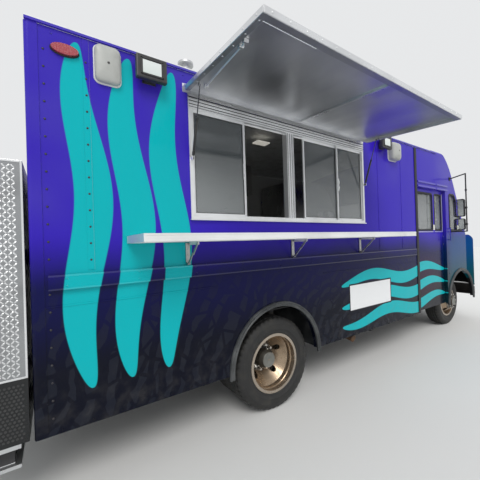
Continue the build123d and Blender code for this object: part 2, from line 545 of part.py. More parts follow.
# Front cap: the curved brow and the frame of the two windshield panes below it
frame = (SHELL & windshield_zone) + ((SHELL & cap_zone) - windshield_zone)
panes = []
for y0, y1 in WINDSHIELD_PANES:
    opening = block(POST_X, FAR, y0, y1, WINDSHIELD_Z0, WINDSHIELD_Z1 - 40)
    frame -= opening
    panes.append(PANE & opening)
HOOD_HINGES_Y = (-500, 500)
HOOD_HINGE_X = HOOD_X0 - 15
HOOD_HINGE_Z = HOOD_Z + 12
KNUCKLE_HALF = 30
for y in HOOD_HINGES_Y:
    for side in (-1, 1):
        y0, y1 = sorted((y + side * (KNUCKLE_HALF + SEAT_GAP), y + side * (KNUCKLE_HALF + 16)))
        frame += rod((HOOD_HINGE_X, y0, HOOD_HINGE_Z), (HOOD_HINGE_X, y1, HOOD_HINGE_Z), 9)
        frame += block(HOOD_HINGE_X - 20, HOOD_HINGE_X, y0, y1, HOOD_Z - 5, HOOD_HINGE_Z)
write("front_cap", frame)
panes += both(PANE & side_window)

# Nose: front and corners, and the hinged hood in its top
nose_zone = block(NOSE_SEAM_X, FAR, -FAR, FAR, BODY_BOTTOM_Z, HOOD_Z)
bumper_room = block(WHEELBASE + ARCH_RADIUS + 30, FAR, -FAR, FAR, 0, NOSE_BOTTOM_Z)
hood_zone = block(HOOD_X0, FAR, -HOOD_HALF_WIDTH, HOOD_HALF_WIDTH, HOOD_BOTTOM_Z, FAR)
hood_room = block(HOOD_X0 - PANEL_GAP, FAR, -HOOD_HALF_WIDTH - PANEL_GAP, HOOD_HALF_WIDTH + PANEL_GAP,
                  HOOD_BOTTOM_Z - PANEL_GAP, FAR)
GRILLE_HALF_WIDTH = 480
GRILLE_Z0, GRILLE_Z1 = 760, 1090
LAMP_Y = HALF_WIDTH - NOSE_CORNER_RADIUS - 155
LAMP_Z = 930
LAMP_RADIUS = 100
grille_room = block(NOSE_X - 2 * WALL, FAR, -GRILLE_HALF_WIDTH, GRILLE_HALF_WIDTH, GRILLE_Z0, GRILLE_Z1)
nose = (SHELL & nose_zone) - FRONT_ARCH - bumper_room - hood_room - windshield_zone - grille_room
for y in (-LAMP_Y, LAMP_Y):
    nose -= rod((NOSE_X - 2 * WALL, y, LAMP_Z), (FAR, y, LAMP_Z), LAMP_RADIUS)
write("nose", nose)
hood = SHELL & hood_zone
for y in HOOD_HINGES_Y:
    y0, y1 = y - KNUCKLE_HALF, y + KNUCKLE_HALF
    hood += block(HOOD_HINGE_X, HOOD_X0 + 60, y0, y1, HOOD_Z + 3, HOOD_Z + 9)
    hood += block(HOOD_X0 + 30, HOOD_X0 + 60, y0, y1, HOOD_Z - 5, HOOD_Z + 9)
    hood += rod((HOOD_HINGE_X, y0, HOOD_HINGE_Z), (HOOD_HINGE_X, y1, HOOD_HINGE_Z), 9)
write("hood", hood)

# Grille: slats in a frame
grille = grille_room & block(NOSE_X - WALL, NOSE_X - 10, -FAR, FAR, 0, FAR)
grille -= block(0, FAR, 25 - GRILLE_HALF_WIDTH, GRILLE_HALF_WIDTH - 25, GRILLE_Z0 + 25, GRILLE_Z1 - 25)
for i in range(7):
    z = GRILLE_Z0 + 45 + i * 40
    grille += block(NOSE_X - 34, NOSE_X - 16, 20 - GRILLE_HALF_WIDTH, GRILLE_HALF_WIDTH - 20, z - 8, z + 8)
write("grille", grille)

# Headlamps in the nose
lamps = []
for y in (-LAMP_Y, LAMP_Y):
    lamps.append(rod((NOSE_X - 70, y, LAMP_Z), (NOSE_X + 4, y, LAMP_Z), LAMP_RADIUS - SEAT_GAP))

# Front bumper: a channel on the ends of the rails
BUMPER_HALF = HALF_WIDTH - 95
BUMPER_DEPTH = 120
BUMPER_METAL = 12
BUMPER_Z0, BUMPER_Z1 = 430, 620
front_bumper = block(FRONT_BUMPER_X - BUMPER_DEPTH, FRONT_BUMPER_X, -BUMPER_HALF, BUMPER_HALF, BUMPER_Z0, BUMPER_Z1)
front_bumper -= block(FRONT_BUMPER_X - BUMPER_DEPTH, FRONT_BUMPER_X - BUMPER_METAL, BUMPER_METAL - BUMPER_HALF,
                      BUMPER_HALF - BUMPER_METAL, BUMPER_Z0 + BUMPER_METAL, BUMPER_Z1 - BUMPER_METAL)
for y in (-RAIL_Y, RAIL_Y):
    front_bumper += block(RAIL_X1, FRONT_BUMPER_X - 6, y - 40, y + 40, BUMPER_Z0 + 6, NOSE_BOTTOM_Z - PANEL_GAP)
write("front_bumper", front_bumper)

# Firewall: riser, ledge over the front wheels and upright panel, open in the middle
# for the engine, whose cover stands in the cab
FIREWALL_X = WHEELBASE - 190
LEDGE_Z = FLOOR_BOTTOM_Z + 210
COVER_HALF = 380
COVER_X0 = WHEELBASE - 660
COVER_Z = 1260
firewall = block(FLOOR_X1, FLOOR_X1 + 20, -INSIDE_Y, INSIDE_Y, FLOOR_BOTTOM_Z, LEDGE_Z + 20)
firewall += block(FLOOR_X1, FIREWALL_X, -INSIDE_Y, INSIDE_Y, LEDGE_Z, LEDGE_Z + 20)
firewall += block(FIREWALL_X - 20, FIREWALL_X, -INSIDE_Y, INSIDE_Y, LEDGE_Z, HOOD_Z - 60)
firewall -= block(0, FAR, -COVER_HALF, COVER_HALF, 0, COVER_Z)
for y0, y1 in ((-FAR, -SLOT_Y), (SLOT_Y, FAR)):
    firewall -= block(0, SLOT_X1 + PANEL_GAP, y0, y1, 0, FAR)
cover = block(COVER_X0, FIREWALL_X, -COVER_HALF, COVER_HALF, FLOOR_TOP_Z, COVER_Z)
cover -= block(COVER_X0 + 20, FAR, 20 - COVER_HALF, COVER_HALF - 20, 0, COVER_Z - 20)
firewall += cover
write("firewall", firewall)

# Dashboard with the steering column and wheel, and the driver's seat
DASH_X0 = FIREWALL_X - 240
DASH_HALF = INSIDE_Y - 205
DASH_Z0, DASH_Z1 = 1275, 1440
dash = block(DASH_X0, FIREWALL_X - 20, -DASH_HALF, DASH_HALF, DASH_Z0, DASH_Z1)
DRIVER_Y = HALF_WIDTH - 555
WHEEL_RADIUS = 205
WHEEL_X = DASH_X0 - 160
column_top = (WHEEL_X, DRIVER_Y, DASH_Z1 - 40)
column = Vector(-200, 0, 110)
dash += rod((DASH_X0 + 40, DRIVER_Y, DASH_Z0 + 15), column_top, 22)
wheel = Plane(origin=column_top, z_dir=column) * Torus(WHEEL_RADIUS, 14)
for angle in (90, 210, 330):
    spoke = Rot(0, 0, angle) * Pos(WHEEL_RADIUS / 2 - 2.5, 0, 0) * Box(WHEEL_RADIUS - 5, 26, 12)
    wheel += Plane(origin=column_top, z_dir=column) * spoke
write("dashboard", dash + wheel)
SEAT_X = WHEEL_X - 700
SEAT_Z = 1120
SEAT_HALF = 240
BACKREST_Z = 1930
seat = block(SEAT_X + 80, SEAT_X + 480, DRIVER_Y - 170, DRIVER_Y + 170, FLOOR_TOP_Z, SEAT_Z)
seat += block(SEAT_X + 40, SEAT_X + 530, DRIVER_Y - SEAT_HALF, DRIVER_Y + SEAT_HALF, SEAT_Z, SEAT_Z + 110)
seat += block(SEAT_X, SEAT_X + 110, DRIVER_Y - SEAT_HALF, DRIVER_Y + SEAT_HALF, SEAT_Z + 80, BACKREST_Z)
seat -= block(STEP_X0, STEP_X1, STEP_Y - 20, FAR, 0, FLOOR_TOP_Z + 20)
write("driver_seat", seat)

# Sliding cab doors: hung from a track inside the wall, running back into a pocket
door_y0 = -INSIDE_Y + DOOR_INSET
door_y1 = door_y0 + DOOR_THICKNESS
DOOR_TOP_Z = TRACK_Z - 14
door = block(DOOR_X0 - DOOR_LAP, DOOR_X1 + DOOR_LAP, door_y0, door_y1, BODY_BOTTOM_Z + 7, DOOR_TOP_Z)
door_panes = []
for x0, x1 in DOOR_PANES:
    opening = block(x0, x1, -FAR, 0, DOOR_WINDOW_Z0, DOOR_WINDOW_Z1)
    door -= opening
    door_panes.append(block(x0, x1, door_y0 + 15, door_y0 + 15 + GLASS, DOOR_WINDOW_Z0, DOOR_WINDOW_Z1))
for x in (DOOR_X0 + 120, DOOR_X1 - 120):
    door += block(x - 40, x + 40, door_y0 + 5, door_y1 - 5, DOOR_TOP_Z, TRACK_Z - 0.5)
HANDLE_Z = 1440
door += block(DOOR_X1 - 32, DOOR_X1 - 8, -INSIDE_Y - 12, door_y0, HANDLE_Z - 60, HANDLE_Z + 60)
write("cab_door_right", door)
write("cab_door_left", left_of(door))
write("cab_door_glass_right", *door_panes)
write("cab_door_glass_left", *[left_of(p) for p in door_panes])
track = block(SLOT_X0, SLOT_X1, -INSIDE_Y, -SLOT_Y + 8, TRACK_Z, TRACK_Z + TRACK_HEIGHT)
liner = block(SLOT_X0, POST_X, -SLOT_Y, -SLOT_Y + 8, FLOOR_TOP_Z, TRACK_Z)
write("door_pockets", *both(track + liner))

# Serving window: outer frame with a sill, four sashes and their glass
window_out = HALF_WIDTH + WINDOW_PROUD
window_in = INSIDE_Y - 5
window = block(WINDOW_X0, WINDOW_X1, -window_out, -HALF_WIDTH, WINDOW_Z0, WINDOW_Z1)
window += block(cut_x0, cut_x1, -HALF_WIDTH, -window_in, cut_z0, cut_z1)
light_x0 = WINDOW_X0 + WINDOW_FRAME
light_x1 = WINDOW_X1 - WINDOW_FRAME
light_z0 = WINDOW_Z0 + WINDOW_FRAME
light_z1 = WINDOW_Z1 - WINDOW_HEAD
CENTRE_POST = (WINDOW_X0 + 950, WINDOW_X0 + 1035)
window -= block(light_x0, light_x1, -FAR, 0, light_z0, light_z1)
window += block(*CENTRE_POST, -window_out + 4, -window_in, light_z0, light_z1)
STILE = 22
SASH_THICKNESS = 12
# each sash: its two ends along X and its lane, 0 outside and 1 inside
RIGHT_BAY = light_x1 - CENTRE_POST[1]
SASHES = [(light_x0, light_x0 + 475, 0), (light_x0 + 12, light_x0 + 487, 1),
          (CENTRE_POST[1] + 0.145 * RIGHT_BAY, CENTRE_POST[1] + 0.628 * RIGHT_BAY, 1),
          (CENTRE_POST[1] + 0.595 * RIGHT_BAY, light_x1, 0)]
for x0, x1, lane in SASHES:
    y0 = -HALF_WIDTH + 8 + 16 * lane
    sash = block(x0, x1, y0, y0 + SASH_THICKNESS, light_z0, light_z1)
    light = block(x0 + STILE, x1 - STILE, -FAR, 0, light_z0 + STILE, light_z1 - STILE)
    window += sash - light
    panes.append(light & block(-FAR, FAR, y0 + 4, y0 + 4 + GLASS, 0, FAR))
write("window_glass", *panes)

# Awning: a sheet in an angle rim with a cross rib, hinged at its inner edge. It is drawn level,
# then let down about its hinge to the slope at which its struts hold it open.
hinge_y = -HALF_WIDTH - AWNING_HINGE_OUT
hinge_z = AWNING_HINGE_Z
root_y = hinge_y - AWNING_ROOT
tip_y = hinge_y - AWNING_LENGTH
awning = block(AWNING_X0, AWNING_X1, tip_y, root_y, hinge_z - AWNING_SKIN, hinge_z)
rim = block(AWNING_X0, AWNING_X1, tip_y, root_y, hinge_z - AWNING_RIM, hinge_z)
rim -= block(AWNING_X0 + 5, AWNING_X1 - 5, tip_y + 5, root_y - 5, 0, hinge_z - AWNING_SKIN)
awning += rim
awning += block(AWNING_RIB_X - 15, AWNING_RIB_X + 15, tip_y, root_y, hinge_z - 16, hinge_z)
STRUT_X = [WINDOW_X0 + 15, WINDOW_X1 - 15]
lug_y = hinge_y - STRUT_REACH
lug_z = hinge_z - STRUT_DEPTH
strut_foot = (-HALF_WIDTH - STRUT_FOOT_OUT, hinge_z - STRUT_FOOT_DROP)
EYE_HALF = 3
for x, side in zip(STRUT_X, (-1, 1)):
    x0, x1 = sorted((x + side * (EYE_HALF + SEAT_GAP), x + side * 9))
    awning += block(x0, x1, lug_y - 12, lug_y + 12, lug_z - 8, hinge_z - AWNING_SKIN)
let_down = Pos(0, hinge_y, hinge_z) * Rot(math.degrees(AWNING_DROP), 0, 0) * Pos(0, -hinge_y, -hinge_z)
write("awning", let_down * awning)
strut_top = (hinge_y - STRUT_REACH * math.cos(AWNING_DROP) + STRUT_DEPTH * math.sin(AWNING_DROP),
             hinge_z - STRUT_REACH * math.sin(AWNING_DROP) - STRUT_DEPTH * math.cos(AWNING_DROP))
header = block(AWNING_X0, AWNING_X1, hinge_y - 4, -HALF_WIDTH, hinge_z + 6, hinge_z + 12)
header += block(AWNING_X0, AWNING_X1, -HALF_WIDTH - 6, -HALF_WIDTH, hinge_z - 20, hinge_z + 40)
header += rod((AWNING_X0, hinge_y, hinge_z), (AWNING_X1, hinge_y, hinge_z), AWNING_ROOT - SEAT_GAP)

# Gas struts at both ends of the awning: tubes footed on the window frame, rods up to the awning
strut_run = Vector(0, strut_top[0] - strut_foot[0], strut_top[1] - strut_foot[1])
strut_dir = strut_run.normalized()
TUBE_LENGTH = 270
NECK = 20
ROD_LENGTH = 290
tubes = []
rods = []
strut_lugs = []
for x, side in zip(STRUT_X, (-1, 1)):
    foot = Vector(x, *strut_foot)
    top = Vector(x, *strut_top)
    tube = rod(foot + strut_dir * NECK, foot + strut_dir * TUBE_LENGTH, STRUT_TUBE_RADIUS)
    tube -= rod(foot + strut_dir * 30, foot + strut_dir * (TUBE_LENGTH + 5), STRUT_ROD_RADIUS + BORE_GAP)
    tube += rod(foot, foot + strut_dir * (NECK + 5), EYE_HALF)
    tube += rod((x - EYE_HALF, *strut_foot), (x + EYE_HALF, *strut_foot), 10)
    tubes.append(tube)
    piston = rod(top - strut_dir * ROD_LENGTH, top - strut_dir * NECK, STRUT_ROD_RADIUS)
    piston += rod(top - strut_dir * (NECK + 5), top, EYE_HALF)
    piston += rod((x - EYE_HALF, *strut_top), (x + EYE_HALF, *strut_top), 6)
    rods.append(piston)
    x0, x1 = sorted((x + side * (EYE_HALF + SEAT_GAP), x + side * 9))
    strut_lugs.append(block(x0, x1, strut_foot[0] - 10, -window_out, strut_foot[1] - 12, strut_foot[1] + 12))
write("awning_strut_tubes", *tubes)
write("awning_strut_rods", *rods)
write("serving_window_frame", window, header, *strut_lugs)

# Serving shelf: a folded sheet hinged below the window, held level by folding braces.
# Each bracket is a stack of flat bars, side by side along X, counted from the shelf's own bar.
SHELF_SHEET = 4
BAR = 6
BAR_HALF = 8
BAR_PITCH = BAR + SEAT_GAP
BRACE_PIN = 4
STRAP = 8
shelf_z0 = SHELF_TOP_Z - SHELF_THICKNESS
shelf_hinge_y = -HALF_WIDTH - SHELF_HINGE_OUT
shelf_hinge_z = shelf_z0 - SHELF_HINGE_DROP
shelf_edge_y = -HALF_WIDTH - SHELF_REACH
shelf_back_y = -HALF_WIDTH - PANEL_GAP
brace_foot_z = shelf_hinge_z - BRACE_REACH
brace_top_y = shelf_hinge_y - BRACE_REACH
elbow = (shelf_hinge_y - BRACE_REACH / 2, shelf_hinge_z - BRACE_REACH / 2)


def bar_span(x, place):
    """Both faces of the bar at a place in the stack of a bracket."""
    return x + place * BAR_PITCH - BAR / 2, x + place * BAR_PITCH + BAR / 2


def flat_bar(x, place, start, end):
    """A flat bar with round ends between two points given as (Y, Z)."""
    x0, x1 = bar_span(x, place)
    start = Vector(0, *start)
    end = Vector(0, *end)
    run = end - start
    web = Plane(origin=start, x_dir=(1, 0, 0), z_dir=run) * Box(
        BAR, 2 * BAR_HALF, run.length, align=(Align.CENTER, Align.CENTER, Align.MIN)
    )
    web = Pos((x0 + x1) / 2, 0, 0) * web
    for point in (start, end):
        web += rod((x0, point.Y, point.Z), (x1, point.Y, point.Z), BAR_HALF)
    return web


def pin(x, first, last, point, radius):
    """A pin through the bars from one place in the stack to another."""
    return rod((bar_span(x, first)[0], *point), (bar_span(x, last)[1], *point), radius)


shelf = block(SHELF_X0, SHELF_X1, shelf_edge_y, shelf_back_y, shelf_z0, SHELF_TOP_Z)
shelf -= block(SHELF_X0 + SHELF_SHEET, SHELF_X1 - SHELF_SHEET, shelf_edge_y + SHELF_SHEET,
               shelf_back_y - SHELF_SHEET, 0, SHELF_TOP_Z - SHELF_SHEET)
brackets = []
lower_links = []
upper_links = []
hinge_point = (shelf_hinge_y, shelf_hinge_z)
foot_point = (shelf_hinge_y, brace_foot_z)
top_point = (brace_top_y, shelf_hinge_z)
for x in BRACE_X:
    bar = flat_bar(x, 0, hinge_point, top_point)
    x0, x1 = bar_span(x, 0)
    bar += block(x0, x1, brace_top_y - BAR_HALF, shelf_hinge_y, shelf_hinge_z, SHELF_TOP_Z - SHELF_SHEET)
    bar -= pin(x, 0, 0, hinge_point, BRACE_PIN + BORE_GAP)
    shelf += bar + pin(x, -1, 0, top_point, BRACE_PIN)
    lower_links.append(flat_bar(x, -2, foot_point, elbow) - pin(x, -2, -2, foot_point, BRACE_PIN + BORE_GAP))
    upper_links.append(flat_bar(x, -1, elbow, top_point) - pin(x, -1, -1, top_point, BRACE_PIN + BORE_GAP))
    brackets.append(block(bar_span(x, -3)[0], bar_span(x, 1)[1], -HALF_WIDTH - STRAP, -HALF_WIDTH,
                          brace_foot_z - BAR_HALF, shelf_hinge_z + BAR_HALF))
    for place, first, last, point in ((1, 0, 1, hinge_point), (-3, -3, -2, foot_point)):
        x0, x1 = bar_span(x, place)
        lug = rod((x0, *point), (x1, *point), BAR_HALF)
        lug += block(x0, x1, shelf_hinge_y, -HALF_WIDTH - STRAP, point[1] - BAR_HALF, point[1] + BAR_HALF)
        brackets.append(lug + pin(x, first, last, point, BRACE_PIN))
write("serving_shelf", shelf)
write("shelf_brackets", *brackets)
write("shelf_braces_lower", *lower_links)
write("shelf_braces_upper", *upper_links)

# Rub rails: open channels along both sides, and the drip rails under the roof and over the doors
RUB_X0, RUB_X1 = BODY_REAR_X + 76, POST_X - 75
RUB_Z0, RUB_Z1 = 1259, 1344
rub = block(RUB_X0, RUB_X1, -HALF_WIDTH - RAIL_PROUD, -HALF_WIDTH, RUB_Z0, RUB_Z1)
rub -= block(-FAR, FAR, -HALF_WIDTH - RAIL_PROUD + 4, -HALF_WIDTH - 4, RUB_Z0 + 6, RUB_Z1 - 6)
DRIP = 14
drip = block(BODY_REAR_X, BROW_X + 150, -HALF_WIDTH - DRIP, -HALF_WIDTH, ROOF_SEAM_Z + 2, ROOF_SEAM_Z + 16)
door_drips = []
for z in (DOOR_HEAD_Z + 5, DOOR_HEAD_Z + 65):
    door_drips += both(block(DOOR_X0 + 10, DOOR_X1 + 70, -HALF_WIDTH - DRIP, -HALF_WIDTH, z, z + 22))
write("body_rails", *both(rub), *both(drip), *door_drips)

# Rubber flares round the wheel arches
flares = []
for x in (0, WHEELBASE):
    arch = Pos(x, -HALF_WIDTH - FLARE_PROUD, ARCH_Z) * Rot(90, 0, 0)
    ring = arch * Cylinder(ARCH_RADIUS + FLARE_WIDTH, FLARE_PROUD, align=(Align.CENTER, Align.CENTER, Align.MAX))
    ring -= arch * Cylinder(ARCH_RADIUS, FAR)
    flares += both(ring & block(-FAR, FAR, -FAR, 0, BODY_BOTTOM_Z - 35, FAR))
write("arch_flares", *flares)

# Lamps and covers high on the body
lamp = Pos(BODY_REAR_X + 187, -HALF_WIDTH, ROOF_SEAM_Z - 110) * Rot(90, 0, 0) * extrude(Ellipse(68, 30), 22)
lamps += both(lamp)
for y in (-250, 0, 250):
    lamps.append(block(BODY_REAR_X - 20, BODY_REAR_X, y - 50, y + 50, ROOF_SEAM_Z - 85, ROOF_SEAM_Z - 50))
COVERS = [(AWNING_X0 - 490, ROOF_SEAM_Z - 130, 160, 240, 48), (AWNING_X1 + 615, ROOF_SEAM_Z - 165, 200, 230, 95)]
covers = []
for x, z, width, height, depth in COVERS:
    cover_face = RectangleRounded(width, height, 45)
    covers.append(Pos(x, -HALF_WIDTH, z) * Rot(90, 0, 0) * extrude(cover_face, depth, taper=12))
FLOODS = [(AWNING_X0 - 236, ROOF_SEAM_Z - 103), (AWNING_X1 + 370, ROOF_SEAM_Z - 100)]
FLOOD_WIDTH, FLOOD_HEIGHT, FLOOD_DEPTH = 198, 150, 45
for x, z in FLOODS:
    head = block(x - FLOOD_WIDTH / 2, x + FLOOD_WIDTH / 2, -HALF_WIDTH - 40 - FLOOD_DEPTH, -HALF_WIDTH - 40,
                 z - FLOOD_HEIGHT / 2, z + FLOOD_HEIGHT / 2)
    head += block(x - 40, x + 40, -HALF_WIDTH - 40, -HALF_WIDTH, z - 60, z - 20)
    covers.append(head)
write("wall_fittings", *covers)

# Mirrors: a bent tube standing out from each front post, with a flat head over a round one
MIRROR_X = SIDE_WINDOW_X + 40
LOOP_RADIUS = 9
loop_y = -HALF_WIDTH - MIRROR_OUT + LOOP_RADIUS
LOOP_Z0, LOOP_Z1 = 1570, 2450
HEADS = [(1795, 2065), (1590, 1765)]
loop = rod((MIRROR_X, -HALF_WIDTH - 5, LOOP_Z1 - 40), (MIRROR_X, loop_y, LOOP_Z1), LOOP_RADIUS)
loop += block(MIRROR_X - 25, MIRROR_X + 25, -HALF_WIDTH - 8, -HALF_WIDTH, LOOP_Z1 - 65, LOOP_Z1 - 15)
loop += rod((MIRROR_X, loop_y, LOOP_Z0), (MIRROR_X, loop_y, LOOP_Z1), LOOP_RADIUS)
loop += rod((MIRROR_X, -HALF_WIDTH, LOOP_Z0), (MIRROR_X, loop_y, LOOP_Z0), LOOP_RADIUS)
loop += Pos(MIRROR_X, loop_y, LOOP_Z0) * Sphere(LOOP_RADIUS) + Pos(MIRROR_X, loop_y, LOOP_Z1) * Sphere(LOOP_RADIUS)
for z0, z1 in HEADS:
    head = block(MIRROR_X - 45, MIRROR_X - 9, loop_y + 10, loop_y + 155, z0, z1)
    head = fillet(head.edges().filter_by(Axis.X), 25)
    z = (z0 + z1) / 2
    loop += head + block(MIRROR_X - 12, MIRROR_X + 8, loop_y, loop_y + 60, z - 15, z + 15)
write("mirrors", *both(loop))

# Rear door, hinged on its left edge and opening rearward
REAR_HINGE_X = BODY_REAR_X - 10
REAR_HINGE_Y = REAR_DOOR_Y1 + 8
rear_door = block(BODY_REAR_X, BODY_REAR_X + WALL, REAR_DOOR_Y0 + PANEL_GAP, REAR_DOOR_Y1 - PANEL_GAP,
                  FLOOR_TOP_Z + PANEL_GAP, REAR_DOOR_Z1 - PANEL_GAP)
REAR_LIGHT = (260, 750, 1750, 2350)
rear_light = block(-FAR, 0, *REAR_LIGHT)
rear_door -= rear_light
HINGES_Z = (1000, 1700, 2420)
for z in HINGES_Z:
    rear_door += rod((REAR_HINGE_X, REAR_HINGE_Y, z), (REAR_HINGE_X, REAR_HINGE_Y, z + 60), 8)
    rear_door += block(BODY_REAR_X - 5, BODY_REAR_X, REAR_DOOR_Y1 - 60, REAR_HINGE_Y - 2, z, z + 60)
rear_door += block(BODY_REAR_X - 35, BODY_REAR_X, REAR_DOOR_Y0 + 40, REAR_DOOR_Y0 + 70, 1350, 1500)
write("rear_door", rear_door)
write("rear_door_glass", rear_light & block(BODY_REAR_X + 18, BODY_REAR_X + 18 + GLASS, 0, FAR, 0, FAR))
HINGE_GAP = 0.3
for z in HINGES_Z:
    z0, z1 = z - HINGE_GAP - 25, z - HINGE_GAP
    rear_wall += rod((REAR_HINGE_X, REAR_HINGE_Y, z0), (REAR_HINGE_X, REAR_HINGE_Y, z1), 8)
    rear_wall += block(BODY_REAR_X - 10, BODY_REAR_X, REAR_HINGE_Y, REAR_HINGE_Y + 45, z0, z1)
write("rear_wall", rear_wall)

# Locker of tread plate behind the body on its dark base, with a door in its rear face
locker = block(LOCKER_X0, LOCKER_X1, LOCKER_Y0, LOCKER_Y1, LOCKER_Z0, LOCKER_Z1)
locker -= block(-FAR, LOCKER_X1 - LOCKER_SHEET, LOCKER_Y0 + LOCKER_SHEET, LOCKER_Y1 - LOCKER_SHEET,
                LOCKER_Z0 + LOCKER_SHEET, LOCKER_Z1 - LOCKER_SHEET)
base = block(LOCKER_X0, LOCKER_X1, LOCKER_Y0, LOCKER_Y1, BUMPER_TOP_Z, LOCKER_Z0)
base -= block(LOCKER_X0 + LOCKER_SHEET, LOCKER_X1 - LOCKER_SHEET, LOCKER_Y0 + LOCKER_SHEET, LOCKER_Y1 - LOCKER_SHEET,
              BUMPER_TOP_Z + LOCKER_SHEET, LOCKER_Z0 - LOCKER_SHEET)
locker += base
LOCKER_HINGE_X = LOCKER_X0 - 14
LOCKER_HINGE_Y = LOCKER_Y0 + 6
LOCKER_HINGE_Z0, LOCKER_HINGE_Z1 = 1000, 1750
LOCKER_LUG = 30
for z0, z1 in ((LOCKER_HINGE_Z0 - LOCKER_LUG, LOCKER_HINGE_Z0 - SEAT_GAP),
               (LOCKER_HINGE_Z1 + SEAT_GAP, LOCKER_HINGE_Z1 + LOCKER_LUG)):
    locker += rod((LOCKER_HINGE_X, LOCKER_HINGE_Y, z0), (LOCKER_HINGE_X, LOCKER_HINGE_Y, z1), 6)
    locker += block(LOCKER_HINGE_X, LOCKER_X0, LOCKER_Y0, LOCKER_HINGE_Y + 6, z0, z1)
write("locker", locker)
locker_door = block(LOCKER_X0 - 22, LOCKER_X0 - 2, LOCKER_Y0 + 20, LOCKER_Y1 - 4, LOCKER_Z0 + 4, LOCKER_Z1 - 4)
locker_door += rod((LOCKER_HINGE_X, LOCKER_HINGE_Y, LOCKER_HINGE_Z0),
                   (LOCKER_HINGE_X, LOCKER_HINGE_Y, LOCKER_HINGE_Z1), 6)
locker_door += block(LOCKER_HINGE_X - 3, LOCKER_HINGE_X + 3, LOCKER_HINGE_Y, LOCKER_Y0 + 22,
                     LOCKER_HINGE_Z0, LOCKER_HINGE_Z1)
write("locker_door", locker_door)

# Rear bumper: a step of two plates with a web set back between them
STEP_HALF = HALF_WIDTH - 15
WEB_INSET = 30
WEB = 8
bumper = block(BUMPER_X0, BUMPER_X1, -STEP_HALF, STEP_HALF, BUMPER_TOP_Z - 22, BUMPER_TOP_Z)
bumper += block(BUMPER_X0, BUMPER_X1, -STEP_HALF, STEP_HALF, BUMPER_BOTTOM_Z, BUMPER_BOTTOM_Z + 18)
web_x0, web_x1, web_half = BUMPER_X0 + WEB_INSET, BUMPER_X1 - WEB_INSET, STEP_HALF - WEB_INSET
web = block(web_x0, web_x1, -web_half, web_half, BUMPER_BOTTOM_Z + 18, BUMPER_TOP_Z - 22)
web -= block(web_x0 + WEB, web_x1 - WEB, WEB - web_half, web_half - WEB, 0, FAR)
write("rear_bumper", bumper + web)
for y in (600, 700):
    lamps += both(rod((web_x0 - 12, y, 400), (web_x0, y, 400), 30))
write("lamps", *lamps)

# Roof: the cooker's extractor fan, an intake hood and a vent cap near the right edge
FAN_X, FAN_Y = 300, 450
FAN_HALF = 300
FAN_Z = ROOF_CROWN_Z + 105
CURB_Z = ROOF_EDGE_Z + 5
fan = block(FAN_X - FAN_HALF, FAN_X + FAN_HALF, FAN_Y - FAN_HALF, FAN_Y + FAN_HALF, CURB_Z, FAN_Z)
fan -= OUTER
fan += rod((FAN_X, FAN_Y, FAN_Z), (FAN_X, FAN_Y, FAN_Z + 60), FAN_HALF - 10)
fan += Pos(FAN_X, FAN_Y, FAN_Z + 60) * Cone(330, 230, 230, align=(Align.CENTER, Align.CENTER, Align.MIN))
intake = block(-1150, -700, 200, 650, CURB_Z, ROOF_CROWN_Z + 145) - OUTER
CAP_X, CAP_Y = -740, 155 - HALF_WIDTH
CAP_Z = ROOF_EDGE_Z + 95
vent_cap = rod((CAP_X, CAP_Y, CURB_Z - 10), (CAP_X, CAP_Y, CAP_Z + 10), 30) - OUTER
vent_cap += rod((CAP_X, CAP_Y, CAP_Z), (CAP_X, CAP_Y, CAP_Z + 16), 60)
write("roof_vents", fan, intake, vent_cap)

# Kitchen: counters along both walls, cooker hood and cold cabinet. The counters bridge the wheel boxes.
COUNTER_LEFT_Y, COUNTER_LEFT_Z = 560, 1680
COUNTER_RIGHT_Y, COUNTER_RIGHT_Z = -700, 1580
COUNTER_LEFT_X = (-1500, WINDOW_X1 - 127)
COUNTER_RIGHT_X = (WINDOW_X0 + 100, WINDOW_X1 - 27)
LEGS_X = (-BOX_X - 30, BOX_X + 40)
counter_left = block(*COUNTER_LEFT_X, COUNTER_LEFT_Y, INSIDE_Y, COUNTER_LEFT_Z - 60, COUNTER_LEFT_Z)
counter_left += block(LEGS_X[1], COUNTER_LEFT_X[1], COUNTER_LEFT_Y, INSIDE_Y, FLOOR_TOP_Z, COUNTER_LEFT_Z)
counter_left += block(COUNTER_LEFT_X[0], LEGS_X[0], COUNTER_LEFT_Y, INSIDE_Y, FLOOR_TOP_Z, COUNTER_LEFT_Z)
counter_right = block(*COUNTER_RIGHT_X, -INSIDE_Y, COUNTER_RIGHT_Y, COUNTER_RIGHT_Z - 40, COUNTER_RIGHT_Z)
counter_right += block(LEGS_X[1], COUNTER_RIGHT_X[1], -INSIDE_Y, COUNTER_RIGHT_Y, FLOOR_TOP_Z, COUNTER_RIGHT_Z)
counter_right += block(COUNTER_RIGHT_X[0], LEGS_X[0] - 10, -INSIDE_Y, COUNTER_RIGHT_Y, FLOOR_TOP_Z, COUNTER_RIGHT_Z)
HOOD_BOX_X = (-1200, WINDOW_X1 - 327)
HOOD_BOX_Y, HOOD_BOX_Z = 500, 2250
hood_box = block(*HOOD_BOX_X, HOOD_BOX_Y, INSIDE_Y, HOOD_BOX_Z, ROOF_SEAM_Z - 40)
hood_box -= block(HOOD_BOX_X[0] + 40, HOOD_BOX_X[1] - 40, HOOD_BOX_Y + 40, INSIDE_Y - 10, 0, ROOF_SEAM_Z - 180)
COLD_X = (POST_X - 895, POST_X - 95)
cold_cabinet = block(*COLD_X, HOOD_BOX_Y, SLOT_Y - 8 - PANEL_GAP, FLOOR_TOP_Z, 2500)
write("kitchen_equipment", counter_left, cold_cabinet, hood_box, counter_right)
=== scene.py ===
"""A walk-in van fitted out as a food truck, dressed over its CAD model for a studio render."""

import json
import math

